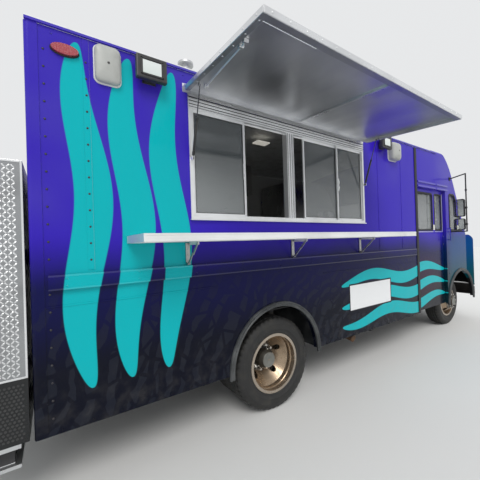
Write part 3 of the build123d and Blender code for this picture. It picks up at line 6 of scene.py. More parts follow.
import bmesh
import bpy
import numpy as np
from mathutils import Euler, Matrix, Vector

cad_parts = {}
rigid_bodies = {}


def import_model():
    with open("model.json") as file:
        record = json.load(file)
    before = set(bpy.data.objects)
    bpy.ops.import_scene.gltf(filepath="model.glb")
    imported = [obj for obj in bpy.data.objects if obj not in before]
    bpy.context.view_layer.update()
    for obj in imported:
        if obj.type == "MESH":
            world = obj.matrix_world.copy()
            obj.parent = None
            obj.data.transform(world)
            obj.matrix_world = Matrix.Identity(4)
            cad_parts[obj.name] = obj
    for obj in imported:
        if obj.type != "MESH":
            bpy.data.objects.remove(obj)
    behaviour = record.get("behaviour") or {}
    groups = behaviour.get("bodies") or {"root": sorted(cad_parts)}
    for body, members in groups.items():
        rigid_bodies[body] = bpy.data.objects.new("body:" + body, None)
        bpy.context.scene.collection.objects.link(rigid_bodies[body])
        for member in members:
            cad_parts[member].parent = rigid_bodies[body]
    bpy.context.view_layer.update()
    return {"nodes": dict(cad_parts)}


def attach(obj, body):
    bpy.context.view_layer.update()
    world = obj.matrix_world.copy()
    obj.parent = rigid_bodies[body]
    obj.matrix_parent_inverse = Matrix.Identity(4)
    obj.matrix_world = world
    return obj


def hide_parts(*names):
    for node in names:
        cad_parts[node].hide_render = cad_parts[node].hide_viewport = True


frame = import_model()

# Camera: at the height of a person's eyes beside the rear corner, with a wide lens, as the
# photograph was taken. Its heading is counted from square to the vehicle's side. Everything is
# placed from the rear axle forward, from the centreline to the left and from the ground up.
AXLE_X = -1.290
CENTRE_Y = 0.35863
HEADING = math.radians(33.537)
PITCH = math.radians(0.178)
ROLL = math.radians(-1.796)
EYE = (-1.642, -3.0935, 1.488)


def at(x, y, z):
    """A point of the vehicle in the shared frame."""
    return Vector((x + AXLE_X, y + CENTRE_Y, z))


lens = bpy.data.cameras.new("photo_camera")
lens.sensor_width = 36
lens.lens = 21.235
lens.shift_y = 0.0055
camera = bpy.data.objects.new("photo_camera", lens)
bpy.context.collection.objects.link(camera)
bpy.context.scene.camera = camera
level = Vector((math.cos(HEADING), -math.sin(HEADING), 0))
ahead = Vector((math.sin(HEADING), math.cos(HEADING), 0)) * math.cos(PITCH)
ahead.z = math.sin(PITCH)
upright = level.cross(ahead)
right = level * math.cos(ROLL) + upright * math.sin(ROLL)
above = upright * math.cos(ROLL) - level * math.sin(ROLL)
looking = Matrix((right, above, -ahead)).transposed().to_4x4()
camera.matrix_world = Matrix.Translation(at(*EYE)) @ looking


# Chassis and running gear: rails, axles, springs and shaft in black enamel with road dust
# on them, and bare iron for the engine, the knuckles and the exhaust.
class Value:
    """One output of a shader node, which can be written in a sum."""

    def __init__(self, finish, socket):
        self.finish = finish
        self.socket = socket

    def maths(operation):
        def work(self, *others):
            return self.finish.node("ShaderNodeMath", {"operation": operation}, self, *others)
        return work

    __add__ = __radd__ = maths("ADD")
    __sub__ = maths("SUBTRACT")
    __mul__ = __rmul__ = maths("MULTIPLY")
    __truediv__ = maths("DIVIDE")
    __pow__ = maths("POWER")
    __abs__ = maths("ABSOLUTE")
    least = maths("MINIMUM")
    most = maths("MAXIMUM")
    sine = maths("SINE")

    def __rsub__(self, other):
        return self.finish.node("ShaderNodeMath", {"operation": "SUBTRACT"}, other, self)

    def __neg__(self):
        return 0 - self

    def rise(self, low, high):
        """0 below low, 1 above high and smooth between."""
        settings = {"interpolation_type": "SMOOTHSTEP"}
        return self.finish.node("ShaderNodeMapRange", settings, self, low, high, 0.0, 1.0)

    def band(self, low, high, soft=0.002):
        """1 between low and high."""
        return self.rise(low - soft, low + soft) * (1 - self.rise(high - soft, high + soft))


class Finish:
    """A material that is being made, and the nodes that its surface needs."""

    def __init__(self, name, **sockets):
        self.made = bpy.data.materials.new(name)
        self.made.use_nodes = True
        self.tree = self.made.node_tree
        self.give(**sockets)

    def give(self, **sockets):
        """Sets the shader's sockets, with _ for a space in a name."""
        for name, value in sockets.items():
            self.feed(self.tree.nodes["Principled BSDF"].inputs[name.replace("_", " ")], value)

    def feed(self, socket, value):
        if isinstance(value, Value):
            self.tree.links.new(value.socket, socket)
        elif socket.type == "RGBA":
            socket.default_value = (*value, 1)
        else:
            socket.default_value = value

    def node(self, kind, settings, *values, output=0, **named):
        made = self.tree.nodes.new(kind)
        for setting, value in settings.items():
            setattr(made, setting, value)
        for socket, value in zip(made.inputs, values):
            self.feed(socket, value)
        for socket, value in named.items():
            self.feed(made.inputs[socket], value)
        return Value(self, made.outputs[output])

    def spot(self, stretch=(1, 1, 1)):
        """Object coordinates, packed closer along an axis with a larger number."""
        place = self.node("ShaderNodeTexCoord", {}, output=3)
        return self.node("ShaderNodeMapping", {}, Vector=place, Scale=stretch)

    def parts(self, vector):
        """The three numbers of a vector."""
        return [self.node("ShaderNodeSeparateXYZ", {}, vector, output=i) for i in range(3)]

    def place(self):
        """Distances forward of the rear axle, left of the centreline and above the ground."""
        x, y, z = self.parts(self.spot())
        return x - AXLE_X, y - CENTRE_Y, z

    def facing(self):
        return self.parts(self.node("ShaderNodeTexCoord", {}, output=1))

    def noise(self, scale, detail=3.0, stretch=(1, 1, 1)):
        return self.node("ShaderNodeTexNoise", {}, Vector=self.spot(stretch), Scale=scale, Detail=detail)

    def cells(self, scale, feature="F1"):
        return self.node("ShaderNodeTexVoronoi", {"feature": feature}, Vector=self.spot(), Scale=scale)

    def waves(self, scale, distortion=0.0, detail=2.0, **settings):
        return self.node("ShaderNodeTexWave", settings, Vector=self.spot(), Scale=scale,
                         Distortion=distortion, Detail=detail)

    def mix(self, factor, first, second):
        mixed = self.tree.nodes.new("ShaderNodeMix")
        mixed.data_type = "RGBA"
        for index, value in ((0, factor), (6, first), (7, second)):
            self.feed(mixed.inputs[index], value)
        return Value(self, mixed.outputs[2])

    def paint(self, factor, first, second):
        self.give(Base_Color=self.mix(factor, first, second))

    def relief(self, height, depth):
        """Bumps of a height between 0 and 1, as deep as depth in metres."""
        self.give(Normal=self.node("ShaderNodeBump", {}, Height=height, Distance=depth, Strength=1.0))


def dress(finish, *nodes):
    """Gives CAD pieces a finish."""
    for node in nodes:
        for place in frame["nodes"][node].material_slots:
            place.material = finish.made


def enamel(name, colour, roughness, dust=0.5, dirt=(0.19, 0.17, 0.145), **sockets):
    """Paint on metal with dust that lies in patches, thicker near the ground."""
    finish = Finish(name, **sockets)
    _, _, high = finish.place()
    patches = finish.noise(9.0, 6.0).rise(0.42, 0.72) * dust
    low = (1 - high.rise(0.1, 1.1)) * 0.5 * dust
    dusty = (patches * 0.5 + low).least(1.0)
    finish.give(Base_Color=finish.mix(dusty, colour, dirt), Roughness=dusty * 0.4 + roughness)
    finish.relief(finish.noise(60.0, 4.0), 0.0004)
    return finish


dress(enamel("black_enamel", (0.012, 0.012, 0.013), 0.42),
      "chassis_frame", "front_axle", "rear_axle", "leaf_springs", "drive_shaft", "fuel_tank")
dress(enamel("bare_iron", (0.075, 0.062, 0.05), 0.62, 0.9, (0.16, 0.085, 0.045), Metallic=0.6),
      "engine_block", "knuckle_left", "knuckle_right", "exhaust")

# Tyres: black rubber with five ribs on the tread, notched shoulders and raised rings on the
# sidewalls, moulded in one. A single tyre at each front wheel, and two side by side at the rear.
WHEELBASE = 3.990
TYRE_RADIUS = 0.4055
GROOVE_DEPTH = 0.012
GROOVES_AT = (0.052, 0.018)
NOTCH_DEPTH = 0.009
TYRE_STEPS = 144
FRONT_TYRE_Y = 0.887
REAR_TYRES_Y = (1.032, 0.770)
SIDES = (("right", -1), ("left", 1))
rubber = Finish("tyre_rubber")
scuffs = rubber.noise(14.0, 8.0).rise(0.45, 0.8)
rubber.give(Base_Color=rubber.mix(scuffs * 0.45, (0.014, 0.014, 0.014), (0.070, 0.066, 0.056)),
            Roughness=scuffs * 0.2 + 0.62)
rubber.relief(rubber.noise(160.0, 3.0), 0.0005)
# Half of the section, from the bead to the middle of the tread, as (radius, offset).
half_tyre = [(0.250, 0.082), (0.262, 0.088), (0.268, 0.0965), (0.276, 0.100), (0.281, 0.099),
             (0.300, 0.1075), (0.305, 0.1105), (0.310, 0.1095), (0.330, 0.1125), (0.348, 0.112),
             (0.352, 0.114), (0.357, 0.112), (0.376, 0.1065), (0.392, 0.0965), (0.399, 0.089),
             (TYRE_RADIUS - 0.0025, 0.084)]
for middle in GROOVES_AT:
    half_tyre += [(TYRE_RADIUS, middle + 0.006), (TYRE_RADIUS - GROOVE_DEPTH, middle + 0.004),
                  (TYRE_RADIUS - GROOVE_DEPTH, middle - 0.004), (TYRE_RADIUS, middle - 0.006)]
tyre_section = [(r, -out) for r, out in half_tyre] + [(r, out) for r, out in reversed(half_tyre)]


def shape(points, faces, finish=None, smooth=0):
    """A bit of a piece from its corners and faces, smoothed over edges that bend by fewer degrees."""
    mesh = bpy.data.meshes.new("bit")
    mesh.from_pydata([tuple(p) for p in points], [], faces)
    if finish:
        mesh.materials.append(finish.made)
    work = bmesh.new()
    work.from_mesh(mesh)
    bmesh.ops.remove_doubles(work, verts=work.verts, dist=1e-6)
    bmesh.ops.recalc_face_normals(work, faces=work.faces)
    work.to_mesh(mesh)
    work.free()
    mesh.polygons.foreach_set("use_smooth", [smooth > 0] * len(mesh.polygons))
    if 0 < smooth < 180:
        mesh.set_sharp_from_angle(angle=math.radians(smooth))
    bit = bpy.data.objects.new("bit", mesh)
    bpy.context.collection.objects.link(bit)
    return bit


def circle(count, start=0.0):
    """The cosine and sine of equal turns once round."""
    turns = [start + 2 * math.pi * i / count for i in range(count)]
    return [(math.cos(turn), math.sin(turn)) for turn in turns]


def skin(rings, finish=None, smooth=0, loop=False):
    """A bit drawn over rings of corners, and over both ends unless the rings run in a loop."""
    count, size = len(rings), len(rings[0])
    faces = []
    for ring in range(count if loop else count - 1):
        a, b = ring * size, (ring + 1) % count * size
        faces += [(a + i, a + (i + 1) % size, b + (i + 1) % size, b + i) for i in range(size)]
    if not loop:
        faces += [tuple(range(size)), tuple(range((count - 1) * size, count * size))]
    return shape([point for ring in rings for point in ring], faces, finish, smooth)


def fit(name, bits, body, slot, *stands_for):
    """Makes bits of one body one piece, fixes it there and hides the nodes that it stands for."""
    mesh = bmesh.new()
    finishes = []
    for bit in bits:
        start = len(mesh.faces)
        mesh.from_mesh(bit.data)
        mesh.faces.ensure_lookup_table()
        for face in mesh.faces[start:]:
            finish = bit.data.materials[face.material_index]
            if finish not in finishes:
                finishes.append(finish)
            face.material_index = finishes.index(finish)
        bpy.data.objects.remove(bit)
    made = bpy.data.meshes.new(name)
    mesh.to_mesh(made)
    mesh.free()
    for finish in finishes:
        made.materials.append(finish)
    piece = bpy.data.objects.new(name, made)
    bpy.context.collection.objects.link(piece)
    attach(piece, body)
    if stands_for:
        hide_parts(*stands_for)
    return piece


def tyre(x, y):
    """The section turned about the wheel's axle line, with every third step notched."""
    rings = []
    for step, (cosine, sine) in enumerate(circle(TYRE_STEPS)):
        ring = []
        for radius, out in tyre_section:
            notched = step % 3 == 0 and radius > 0.39 and abs(out) > 0.056
            r = radius - NOTCH_DEPTH * notched
            ring.append(at(x + r * sine, y + out, TYRE_RADIUS + r * cosine))
        rings.append(ring)
    return skin(rings, rubber, smooth=35, loop=True)


for side, sign in SIDES:
    fit(f"front_tyre_{side}", [tyre(WHEELBASE, sign * FRONT_TYRE_Y)],
        f"wheel_front_{side}", "tyre", f"tyre_front_{side}")
    fit(f"rear_tyres_{side}", [tyre(0, sign * y) for y in REAR_TYRES_Y],
        f"wheel_rear_{side}", "tyre", f"tyres_rear_{side}")

# Wheels: pressed steel rims painted bronze, with a painted highlight on the lip, two rolled steps
# in the barrel, and steel nuts on studs in the black grease round the hub. The hub's cap is flat.
STUD_CIRCLE = 0.1125
STUDS = 10
BARREL = 0.238
# Each axle's distance forward, and how far out its discs, its caps and the barrels' steps lie.
AXLES = (("rear", 0, 0.913, 1.039, (1.082, 1.022)), ("front", WHEELBASE, 1.018, 1.0775, ()))
# Turns of a small shape that is drawn looking out of the vehicle's right side.
OUT_RIGHT = (0, 0, 0)
OUT_LEFT = (0, 0, math.pi)
OUT_REAR = (0, 0, -math.pi / 2)
OUT_FRONT = (0, 0, math.pi / 2)
OUT_UP = (-math.pi / 2, 0, 0)
OUT_DOWN = (math.pi / 2, 0, 0)


def stamping_tree():
    """Geometry Nodes that set one small shape at every point, turned as the point says."""
    tree = bpy.data.node_groups.new("stamp_at_points", "GeometryNodeTree")
    for label, way, kind in (("Points", "INPUT", "Geometry"), ("Stamp", "INPUT", "Object"),
                             ("Size", "INPUT", "Float"), ("Finish", "INPUT", "Material"),
                             ("Mesh", "OUTPUT", "Geometry")):
        tree.interface.new_socket(label, in_out=way, socket_type=f"NodeSocket{kind}")
    given, result, stamp, turn, as_turn, placed, whole, painted = (tree.nodes.new(kind) for kind in (
        "NodeGroupInput", "NodeGroupOutput", "GeometryNodeObjectInfo", "GeometryNodeInputNamedAttribute",
        "FunctionNodeEulerToRotation", "GeometryNodeInstanceOnPoints", "GeometryNodeRealizeInstances",
        "GeometryNodeSetMaterial"))
    turn.data_type = "FLOAT_VECTOR"
    turn.inputs["Name"].default_value = "turn"
    for start, output, end, entry in (
        (given, "Points", placed, "Points"),
        (given, "Stamp", stamp, "Object"),
        (stamp, "Geometry", placed, "Instance"),
        (turn, "Attribute", as_turn, "Euler"),
        (as_turn, "Rotation", placed, "Rotation"),
        (given, "Size", placed, "Scale"),
        (placed, "Instances", whole, "Geometry"),
        (whole, "Geometry", painted, "Geometry"),
        (given, "Finish", painted, "Material"),
        (painted, "Geometry", result, "Mesh"),
    ):
        tree.links.new(start.outputs[output], end.inputs[entry])
    return tree


stamping = stamping_tree()


def settled(bit):
    """The bit with its modifiers worked out."""
    bpy.context.view_layer.update()
    mesh = bpy.data.meshes.new_from_object(bit.evaluated_get(bpy.context.evaluated_depsgraph_get()))
    bit.modifiers.clear()
    bit.data = mesh
    return bit


def stamped(stamp, rows, finish, size=1.0):
    """A bit with the stamp at every (point, turn) of the rows."""
    mesh = bpy.data.meshes.new("stamped")
    mesh.from_pydata([tuple(point) for point, _ in rows], [], [])
    turns = mesh.attributes.new("turn", "FLOAT_VECTOR", "POINT")
    turns.data.foreach_set("vector", [number for _, turn in rows for number in turn])
    bit = bpy.data.objects.new("stamped", mesh)
    bpy.context.collection.objects.link(bit)
    work = bit.modifiers.new("stamps", "NODES")
    work.node_group = stamping
    entries = {entry.name: entry.identifier for entry in stamping.interface.items_tree}
    for entry, value in (("Stamp", stamp), ("Size", size), ("Finish", finish.made)):
        work[entries[entry]] = value
    return settled(bit)


def kept_for_stamping(name, bit):
    """Hides a small shape that is only set at points."""
    bit.name = f"{name}_stamp"
    bit.hide_render = True
    return bit


def turned_stamp(name, section, sides, smooth=180):
    """A stamp turned about its outward line, from corners as (radius, height)."""
    rings = [[(r * cosine, -height, r * sine) for cosine, sine in circle(sides, math.pi / sides)]
             for r, height in section]
    return kept_for_stamping(name, skin(rings, smooth=smooth))


def lathe(section, centre, axis, finish, steps=48, loop=False):
    """A bit turned about a line, from corners as (radius, distance along the line)."""
    axis = Vector(axis).normalized()
    first = axis.orthogonal().normalized()
    second = axis.cross(first)
    rings = [[centre + axis * along + (first * cosine + second * sine) * radius
              for cosine, sine in circle(steps)] for radius, along in section]
    return skin(rings, finish, smooth=35, loop=loop)


def mottled(name, roughness, scale, first, second, detail=3.0, **sockets):
    """A smooth finish that drifts between two colours."""
    finish = Finish(name, Roughness=roughness, **sockets)
    finish.paint(finish.noise(scale, detail), first, second)
    return finish


bronze = Finish("bronze_rim")
x, _, z = bronze.place()
# Counted from the nearer axle, so that all the rims are painted alike.
forward = x - x.rise(1.999, 2.001) * WHEELBASE
rise = z - TYRE_RADIUS
from_axle = (forward * forward + rise * rise) ** 0.5
grime = bronze.noise(11.0, 7.0).rise(0.42, 0.75)
grease = 1 - (from_axle + bronze.noise(16.0, 4.0) * 0.02).rise(0.136, 0.160)
grease *= from_axle.rise(0.060, 0.064)
# The lip beyond the barrel is painted paler: a painted highlight.
lip_highlight = from_axle.rise(BARREL - 0.001, BARREL + 0.001)
paint = bronze.mix(grime * 0.6, (0.37, 0.28, 0.195), (0.13, 0.105, 0.08))
paint = bronze.mix(lip_highlight * 0.7, paint, (0.46, 0.41, 0.35))
bronze.give(Base_Color=bronze.mix(grease, paint, (0.045, 0.042, 0.034)), Metallic=0.8 - grease * 0.6,
            Roughness=grime * 0.25 + 0.24 + grease * 0.2)
bronze.relief(bronze.noise(90.0, 4.0), 0.0005)
dress(bronze, "rims_rear_right", "rims_rear_left", "rim_front_right", "rim_front_left")
nut_steel = Finish("nut_steel", Metallic=0.9)
rust = nut_steel.noise(70.0, 5.0).rise(0.5, 0.75)
nut_steel.paint(rust * 0.7, (0.66, 0.64, 0.60), (0.20, 0.14, 0.09))
nut_steel.give(Roughness=rust * 0.3 + 0.25)
cap_grey = mottled("cap_grey", 0.4, 25.0, (0.12, 0.125, 0.11), (0.26, 0.26, 0.24), 5.0, Metallic=0.5)
nut = turned_stamp("nut", [(0.023, 0.0), (0.023, 0.004), (0.0185, 0.005), (0.0185, 0.024), (0.016, 0.028),
                           (0.0125, 0.028), (0.0125, 0.046), (0.010, 0.048)], 6, smooth=0)
hub_cap = [(0.0685, -0.004), (0.0685, 0.0015), (0.066, 0.0035), (0.0625, 0.0015), (0.060, 0.0005),
           (0.001, 0.0008)]
barrel_step = [(BARREL + inward, along) for inward, along in (
    (0.003, 0.0), (-0.003, 0.001), (-0.008, 0.006), (-0.010, 0.014), (-0.010, 0.020), (-0.007, 0.028),
    (-0.001, 0.034), (0.003, 0.035))]
for side, sign in SIDES:
    for wheel, x, disc_y, cap_y, steps_y in AXLES:
        out = OUT_LEFT if sign > 0 else OUT_RIGHT
        rows = [(at(x + STUD_CIRCLE * sine, sign * disc_y, TYRE_RADIUS + STUD_CIRCLE * cosine), out)
                for cosine, sine in circle(STUDS, math.pi / STUDS)]
        bits = [stamped(nut, rows, nut_steel),
                lathe(hub_cap, at(x, sign * cap_y, TYRE_RADIUS), (0, sign, 0), cap_grey)]
        for y in steps_y:
            bits.append(lathe(barrel_step, at(x, sign * y, TYRE_RADIUS), (0, -sign, 0), bronze, 72, True))
        fit(f"{wheel}_wheel_nuts_{side}", bits, f"wheel_{wheel}_{side}", "rim")


# Floor and inside fittings: chequered aluminium underfoot, sealed black outside and low down,
# black over the wheel boxes as painted shade, stainless kitchen equipment, and a black dashboard.
def metal(name, colour, roughness, brushed=(1, 1, 1), scratch=0.25, metallic=1.0):
    """Bare metal, brushed along one line, with smudges that dull it."""
    finish = Finish(name, Metallic=metallic)
    grain = finish.noise(40.0, 6.0, brushed)
    smudge = finish.noise(3.5, 5.0).rise(0.35, 0.75)
    dark = tuple(c * 0.72 for c in colour)
    finish.give(Base_Color=finish.mix(smudge * 0.5 + grain * scratch, colour, dark),
                Roughness=smudge * 0.12 + grain * 0.14 + (roughness - 0.08))
    finish.relief(grain, 0.0003)
    return finish


dress(metal("stainless", (0.55, 0.55, 0.54), 0.28, (30, 1, 1)), "kitchen_equipment")
floor_metal = metal("floor_metal", (0.42, 0.43, 0.44), 0.4)
_, y, z = floor_metal.place()
_, ny, nz = floor_metal.facing()
outward = (ny * y.rise(-0.01, 0.01) * 2 - ny).most(-nz).rise(0.2, 0.4)
# The wheel boxes are painted black as painted shade in the arches; outward and low faces are black underseal.
shaded_boxes = abs(y).rise(0.55, 0.56) * (1 - z.rise(1.05, 1.06))
underseal_and_shade = outward.most(1 - z.rise(0.60, 0.61)).most(shaded_boxes)
floor_metal.give(Base_Color=floor_metal.mix(underseal_and_shade, (0.40, 0.41, 0.42), (0.014, 0.014, 0.015)),
                 Metallic=1 - underseal_and_shade, Roughness=underseal_and_shade * 0.4 + 0.4)
dress(floor_metal, "floor")
black_grain = Finish("black_grain", Base_Color=(0.02, 0.02, 0.021))
black_grain.give(Roughness=black_grain.noise(30.0) * 0.25 + 0.4)
black_grain.relief(black_grain.cells(420.0), 0.0006)
dress(black_grain, "dashboard", "firewall")


def slab(low, high, finish, edge=0.002, steps=2):
    """A plate or block between two opposite corners, with rounded edges."""
    points = [(x, y, z) for x in (low[0], high[0]) for y in (low[1], high[1]) for z in (low[2], high[2])]
    faces = [(0, 1, 3, 2), (4, 6, 7, 5), (0, 4, 5, 1), (2, 3, 7, 6), (0, 2, 6, 4), (1, 5, 7, 3)]
    bit = shape(points, faces, finish)
    rounding = bit.modifiers.new("rounding", "BEVEL")
    rounding.width = edge
    rounding.segments = steps
    return settled(bit)


# Driver's seat: two foam pads covered with black woven cloth, joined by hinge plates at the
# sides and bolted to a steel stand.
DRIVER_Y = 0.640
SEAT_HALF = 0.235
SEAT_SWELL = 0.02
# Rear, front, low and high of the cushion and the backrest.
PADS = ((2.755, 3.215, 1.125, 1.215), (2.712, 2.798, 1.24, 1.915))


def crowned(low, high, finish):
    """A padded block: rounded, and swollen between its corners."""
    centre = (low + high) / 2
    half = (high - low) / 2
    bit = slab(low, high, finish, 0.03, 3)
    fine = bit.modifiers.new("fine", "SUBSURF")
    fine.subdivision_type = "SIMPLE"
    fine.levels = 4
    settled(bit)
    for vertex in bit.data.vertices:
        away = [(vertex.co[i] - centre[i]) / half[i] for i in range(3)]
        for i in range(3):
            j, k = (i + 1) % 3, (i + 2) % 3
            vertex.co[i] += away[i] * SEAT_SWELL * (1 - min(1, away[j] ** 2)) * (1 - min(1, away[k] ** 2))
    bit.data.polygons.foreach_set("use_smooth", [True] * len(bit.data.polygons))
    return bit


cloth = Finish("seat_cloth", Roughness=0.85, Sheen_Weight=0.3)
thread = cloth.waves(260.0, 1.5, wave_type="BANDS", bands_direction="DIAGONAL")
cloth.paint(thread * 0.6, (0.028, 0.03, 0.035), (0.075, 0.078, 0.088))
cloth.relief(thread, 0.0006)
left, right = DRIVER_Y - SEAT_HALF, DRIVER_Y + SEAT_HALF
pads = [crowned(at(x0, left, z0), at(x1, right, z1), cloth) for x0, x1, z0, z1 in PADS]
stand = [slab(at(2.785, DRIVER_Y - 0.165, 0.822), at(3.175, DRIVER_Y + 0.165, 1.12), black_grain, 0.012)]
for y in (DRIVER_Y - 0.232, DRIVER_Y + 0.232):
    stand.append(slab(at(2.75, y - 0.004, 1.16), at(2.80, y + 0.004, 1.34), black_grain, 0.003))
fit("seat_frame", stand, "vehicle", "black_plastic")
fit("driver_cushions", pads, "vehicle", "seat_cloth", "driver_seat")

# Ceiling lamps: two flat housings with milky plastic covers, screwed under the kitchen's
# ceiling and faintly lit.
glow = mottled("ceiling_glow", 0.4, 25.0, (0.8, 0.8, 0.76), (0.9, 0.9, 0.86),
               Emission_Color=(1.0, 0.95, 0.85), Emission_Strength=0.35)
lamps = [slab(at(x, -0.33, 2.745), at(x + 0.20, -0.21, 2.765), glow, 0.01) for x in (-0.9, 0.5)]
fit("ceiling_lamps", lamps, "vehicle", "white_metal")

# Body panels: aluminium sheets over which one printed film runs, violet blue above and almost
# black below, with teal ribbons. Inside they are lined with pale board above the floor.
UPPER = (0.034, 0.014, 0.42)
MIDDLE = (0.003, 0.004, 0.060)
LOWER = (0.002, 0.003, 0.010)
TEAL = (0.002, 0.42, 0.46)
LINING = (0.55, 0.56, 0.55)


def ribbons(along, across, ends, middles, half_width, sway):
    """Wavy bands that taper at both ends, between 0 and 1."""
    run = ((along - ends[0]) / (ends[1] - ends[0])).least(0.999).most(0.001)
    taper = (run * math.pi).sine() ** 0.45
    found = None
    for order, middle in enumerate(middles):
        wave = ((along * 4.4) + order * 0.75).sine() * sway
        band = 1 - (abs(across - wave - middle) - taper * half_width).rise(-0.004, 0.004)
        found = band if found is None else found.most(band)
    return found * along.band(*ends)


def wrap(name, ribboned=True, front=False, shine=0.1, coat=0.08):
    """The film on one group of panels, and the lining behind them."""
    finish = Finish(name, Specular_IOR_Level=shine, Coat_Roughness=0.05)
    x, y, z = finish.place()
    nx, ny, _ = finish.facing()
    high = z + finish.noise(0.9, 2.0) * 0.22
    paint = finish.mix(high.rise(0.85, 1.40), LOWER, MIDDLE)
    paint = finish.mix(high.rise(1.36, 1.72), paint, UPPER)
    # Paler violet clouds high on the film are a painted sheen of reflected light.
    painted_sheen = finish.noise(0.75, 3.0).rise(0.42, 0.68) * high.rise(1.60, 2.05)
    paint = finish.mix(painted_sheen * 0.55, paint, (0.085, 0.070, 0.40))
    curls = finish.cells(6.5, "DISTANCE_TO_EDGE").rise(0.05, 0.08)
    petals = finish.waves(2.6, 9.0, 3.0, wave_type="RINGS", rings_direction="Y").rise(0.55, 0.62)
    paint = finish.mix(petals * curls * (1 - z.rise(0.75, 1.5)) * 0.5, paint, (0.016, 0.019, 0.030))
    if front:
        sea = finish.mix(z.rise(0.75, 1.45), (0.001, 0.055, 0.070), (0.001, 0.050, 0.20))
        paint = finish.mix((1 - z.rise(1.40, 1.70)) * x.rise(3.30, 3.75), paint, sea)
        plum = (1 - z.rise(1.0, 1.35)) * z.rise(0.6, 0.8) * x.band(2.3, 3.2, 0.3)
        paint = finish.mix(plum * 0.6, paint, (0.035, 0.004, 0.030))
    if ribboned:
        rising = ribbons(z, x, (0.66, 2.70), (-1.47, -1.21, -0.95), 0.105, 0.045)
        lying = ribbons(x, z, (0.88, 3.48), (0.60, 0.82, 1.04), 0.075, 0.05)
        paint = finish.mix(lying, finish.mix(rising, paint, TEAL), TEAL)
        tag = (abs(x - 1.42) - 0.40).most(abs(z - 0.86) - 0.135)
        paint = finish.mix(1 - tag.rise(0.012, 0.018), paint, (0.006, 0.006, 0.012))
        paint = finish.mix(1 - tag.rise(-0.004, 0.002), paint, (0.78, 0.79, 0.80))
    dust = (1 - z.rise(0.4, 0.9)) * finish.noise(12.0, 6.0).rise(0.4, 0.75) * 0.2
    paint = finish.mix(dust, paint, (0.10, 0.095, 0.085))
    outside = 1 - (-ny * y).most(-nx * (x - 1.5) - 1.7).rise(0.3, 0.45)
    # Inner faces below the floor and in the nose are painted near black: painted shade.
    lining_else_shade = z.rise(1.04, 1.06) * (1 - x.rise(4.05, 4.10))
    finish.give(Base_Color=finish.mix(outside, finish.mix(lining_else_shade, (0.012, 0.012, 0.013), LINING), paint),
                Roughness=finish.noise(5.0, 4.0) * 0.1 + dust * 0.4 + 0.16, Coat_Weight=outside * coat)
    finish.relief(finish.noise(26.0, 2.0), 0.0009)
    return finish


side_wrap = wrap("side_wrap")
dress(side_wrap, "side_wall_right", "side_wall_left")
rail_wrap = wrap("rail_wrap")
_, _, z = rail_wrap.place()
rail_edges = z.rise(1.332, 1.335).most(1 - z.rise(1.266, 1.269))
rail_wrap.give(Coat_Weight=rail_edges * 0.85 + 0.08)
dress(rail_wrap, "body_rails")
plain_wrap = wrap("plain_wrap", ribboned=False)
dress(plain_wrap, "rear_wall", "front_cap")
dress(wrap("cab_wrap", front=True),
      "cab_side_right", "cab_side_left", "cab_door_right", "cab_door_left", "door_pockets")
dress(wrap("nose_wrap", ribboned=False, front=True, shine=0.0, coat=0.03), "nose", "hood", "rear_door")

# Seams of the panels: rounded corner mouldings at the tail, rubber posts behind the cab doors,
# lap strips and belts under the film, and rivets in rows along them.
SIDE = 1.195
TAIL_X = -1.742
POST_X = 2.545
EAVES_Z = 2.740
LAP = 0.003
PITCH_WIDE = 0.158
PITCH_FINE = 0.098
PLAIN_LAP_X = -1.45
FILMED_LAPS_X = (1.63, 2.16)
LAP_FOOT_Z = 1.36
TOP_ROW_Z = EAVES_Z - 0.030
LOW_ROW_Z = 0.475
seal = Finish("black_rubber_seal", Base_Color=(0.014, 0.014, 0.015))
seal.give(Roughness=seal.noise(50.0, 4.0) * 0.3 + 0.45)
seal.relief(seal.noise(120.0, 3.0), 0.0004)
dark_rivet = mottled("dark_rivet", 0.35, 60.0, (0.008, 0.008, 0.022), (0.05, 0.045, 0.04))
rivet = turned_stamp("rivet", [(0.0065, 0.0), (0.006, 0.0014), (0.004, 0.0028), (0.0015, 0.0034)], 10)


def bar(x0, x1, out0, out1, z0, z1, finish, edge=0.002, steps=2, sign=-1):
    """A plate on a side wall, from one distance off the wall to another."""
    return slab(at(x0, sign * (SIDE + out0), z0), at(x1, sign * (SIDE + out1), z1), finish, edge, steps)


def on_wall(sign, x, z, out=0.0005):
    """A place for a stamp on a side wall."""
    return at(x, sign * (SIDE + out), z), OUT_LEFT if sign > 0 else OUT_RIGHT


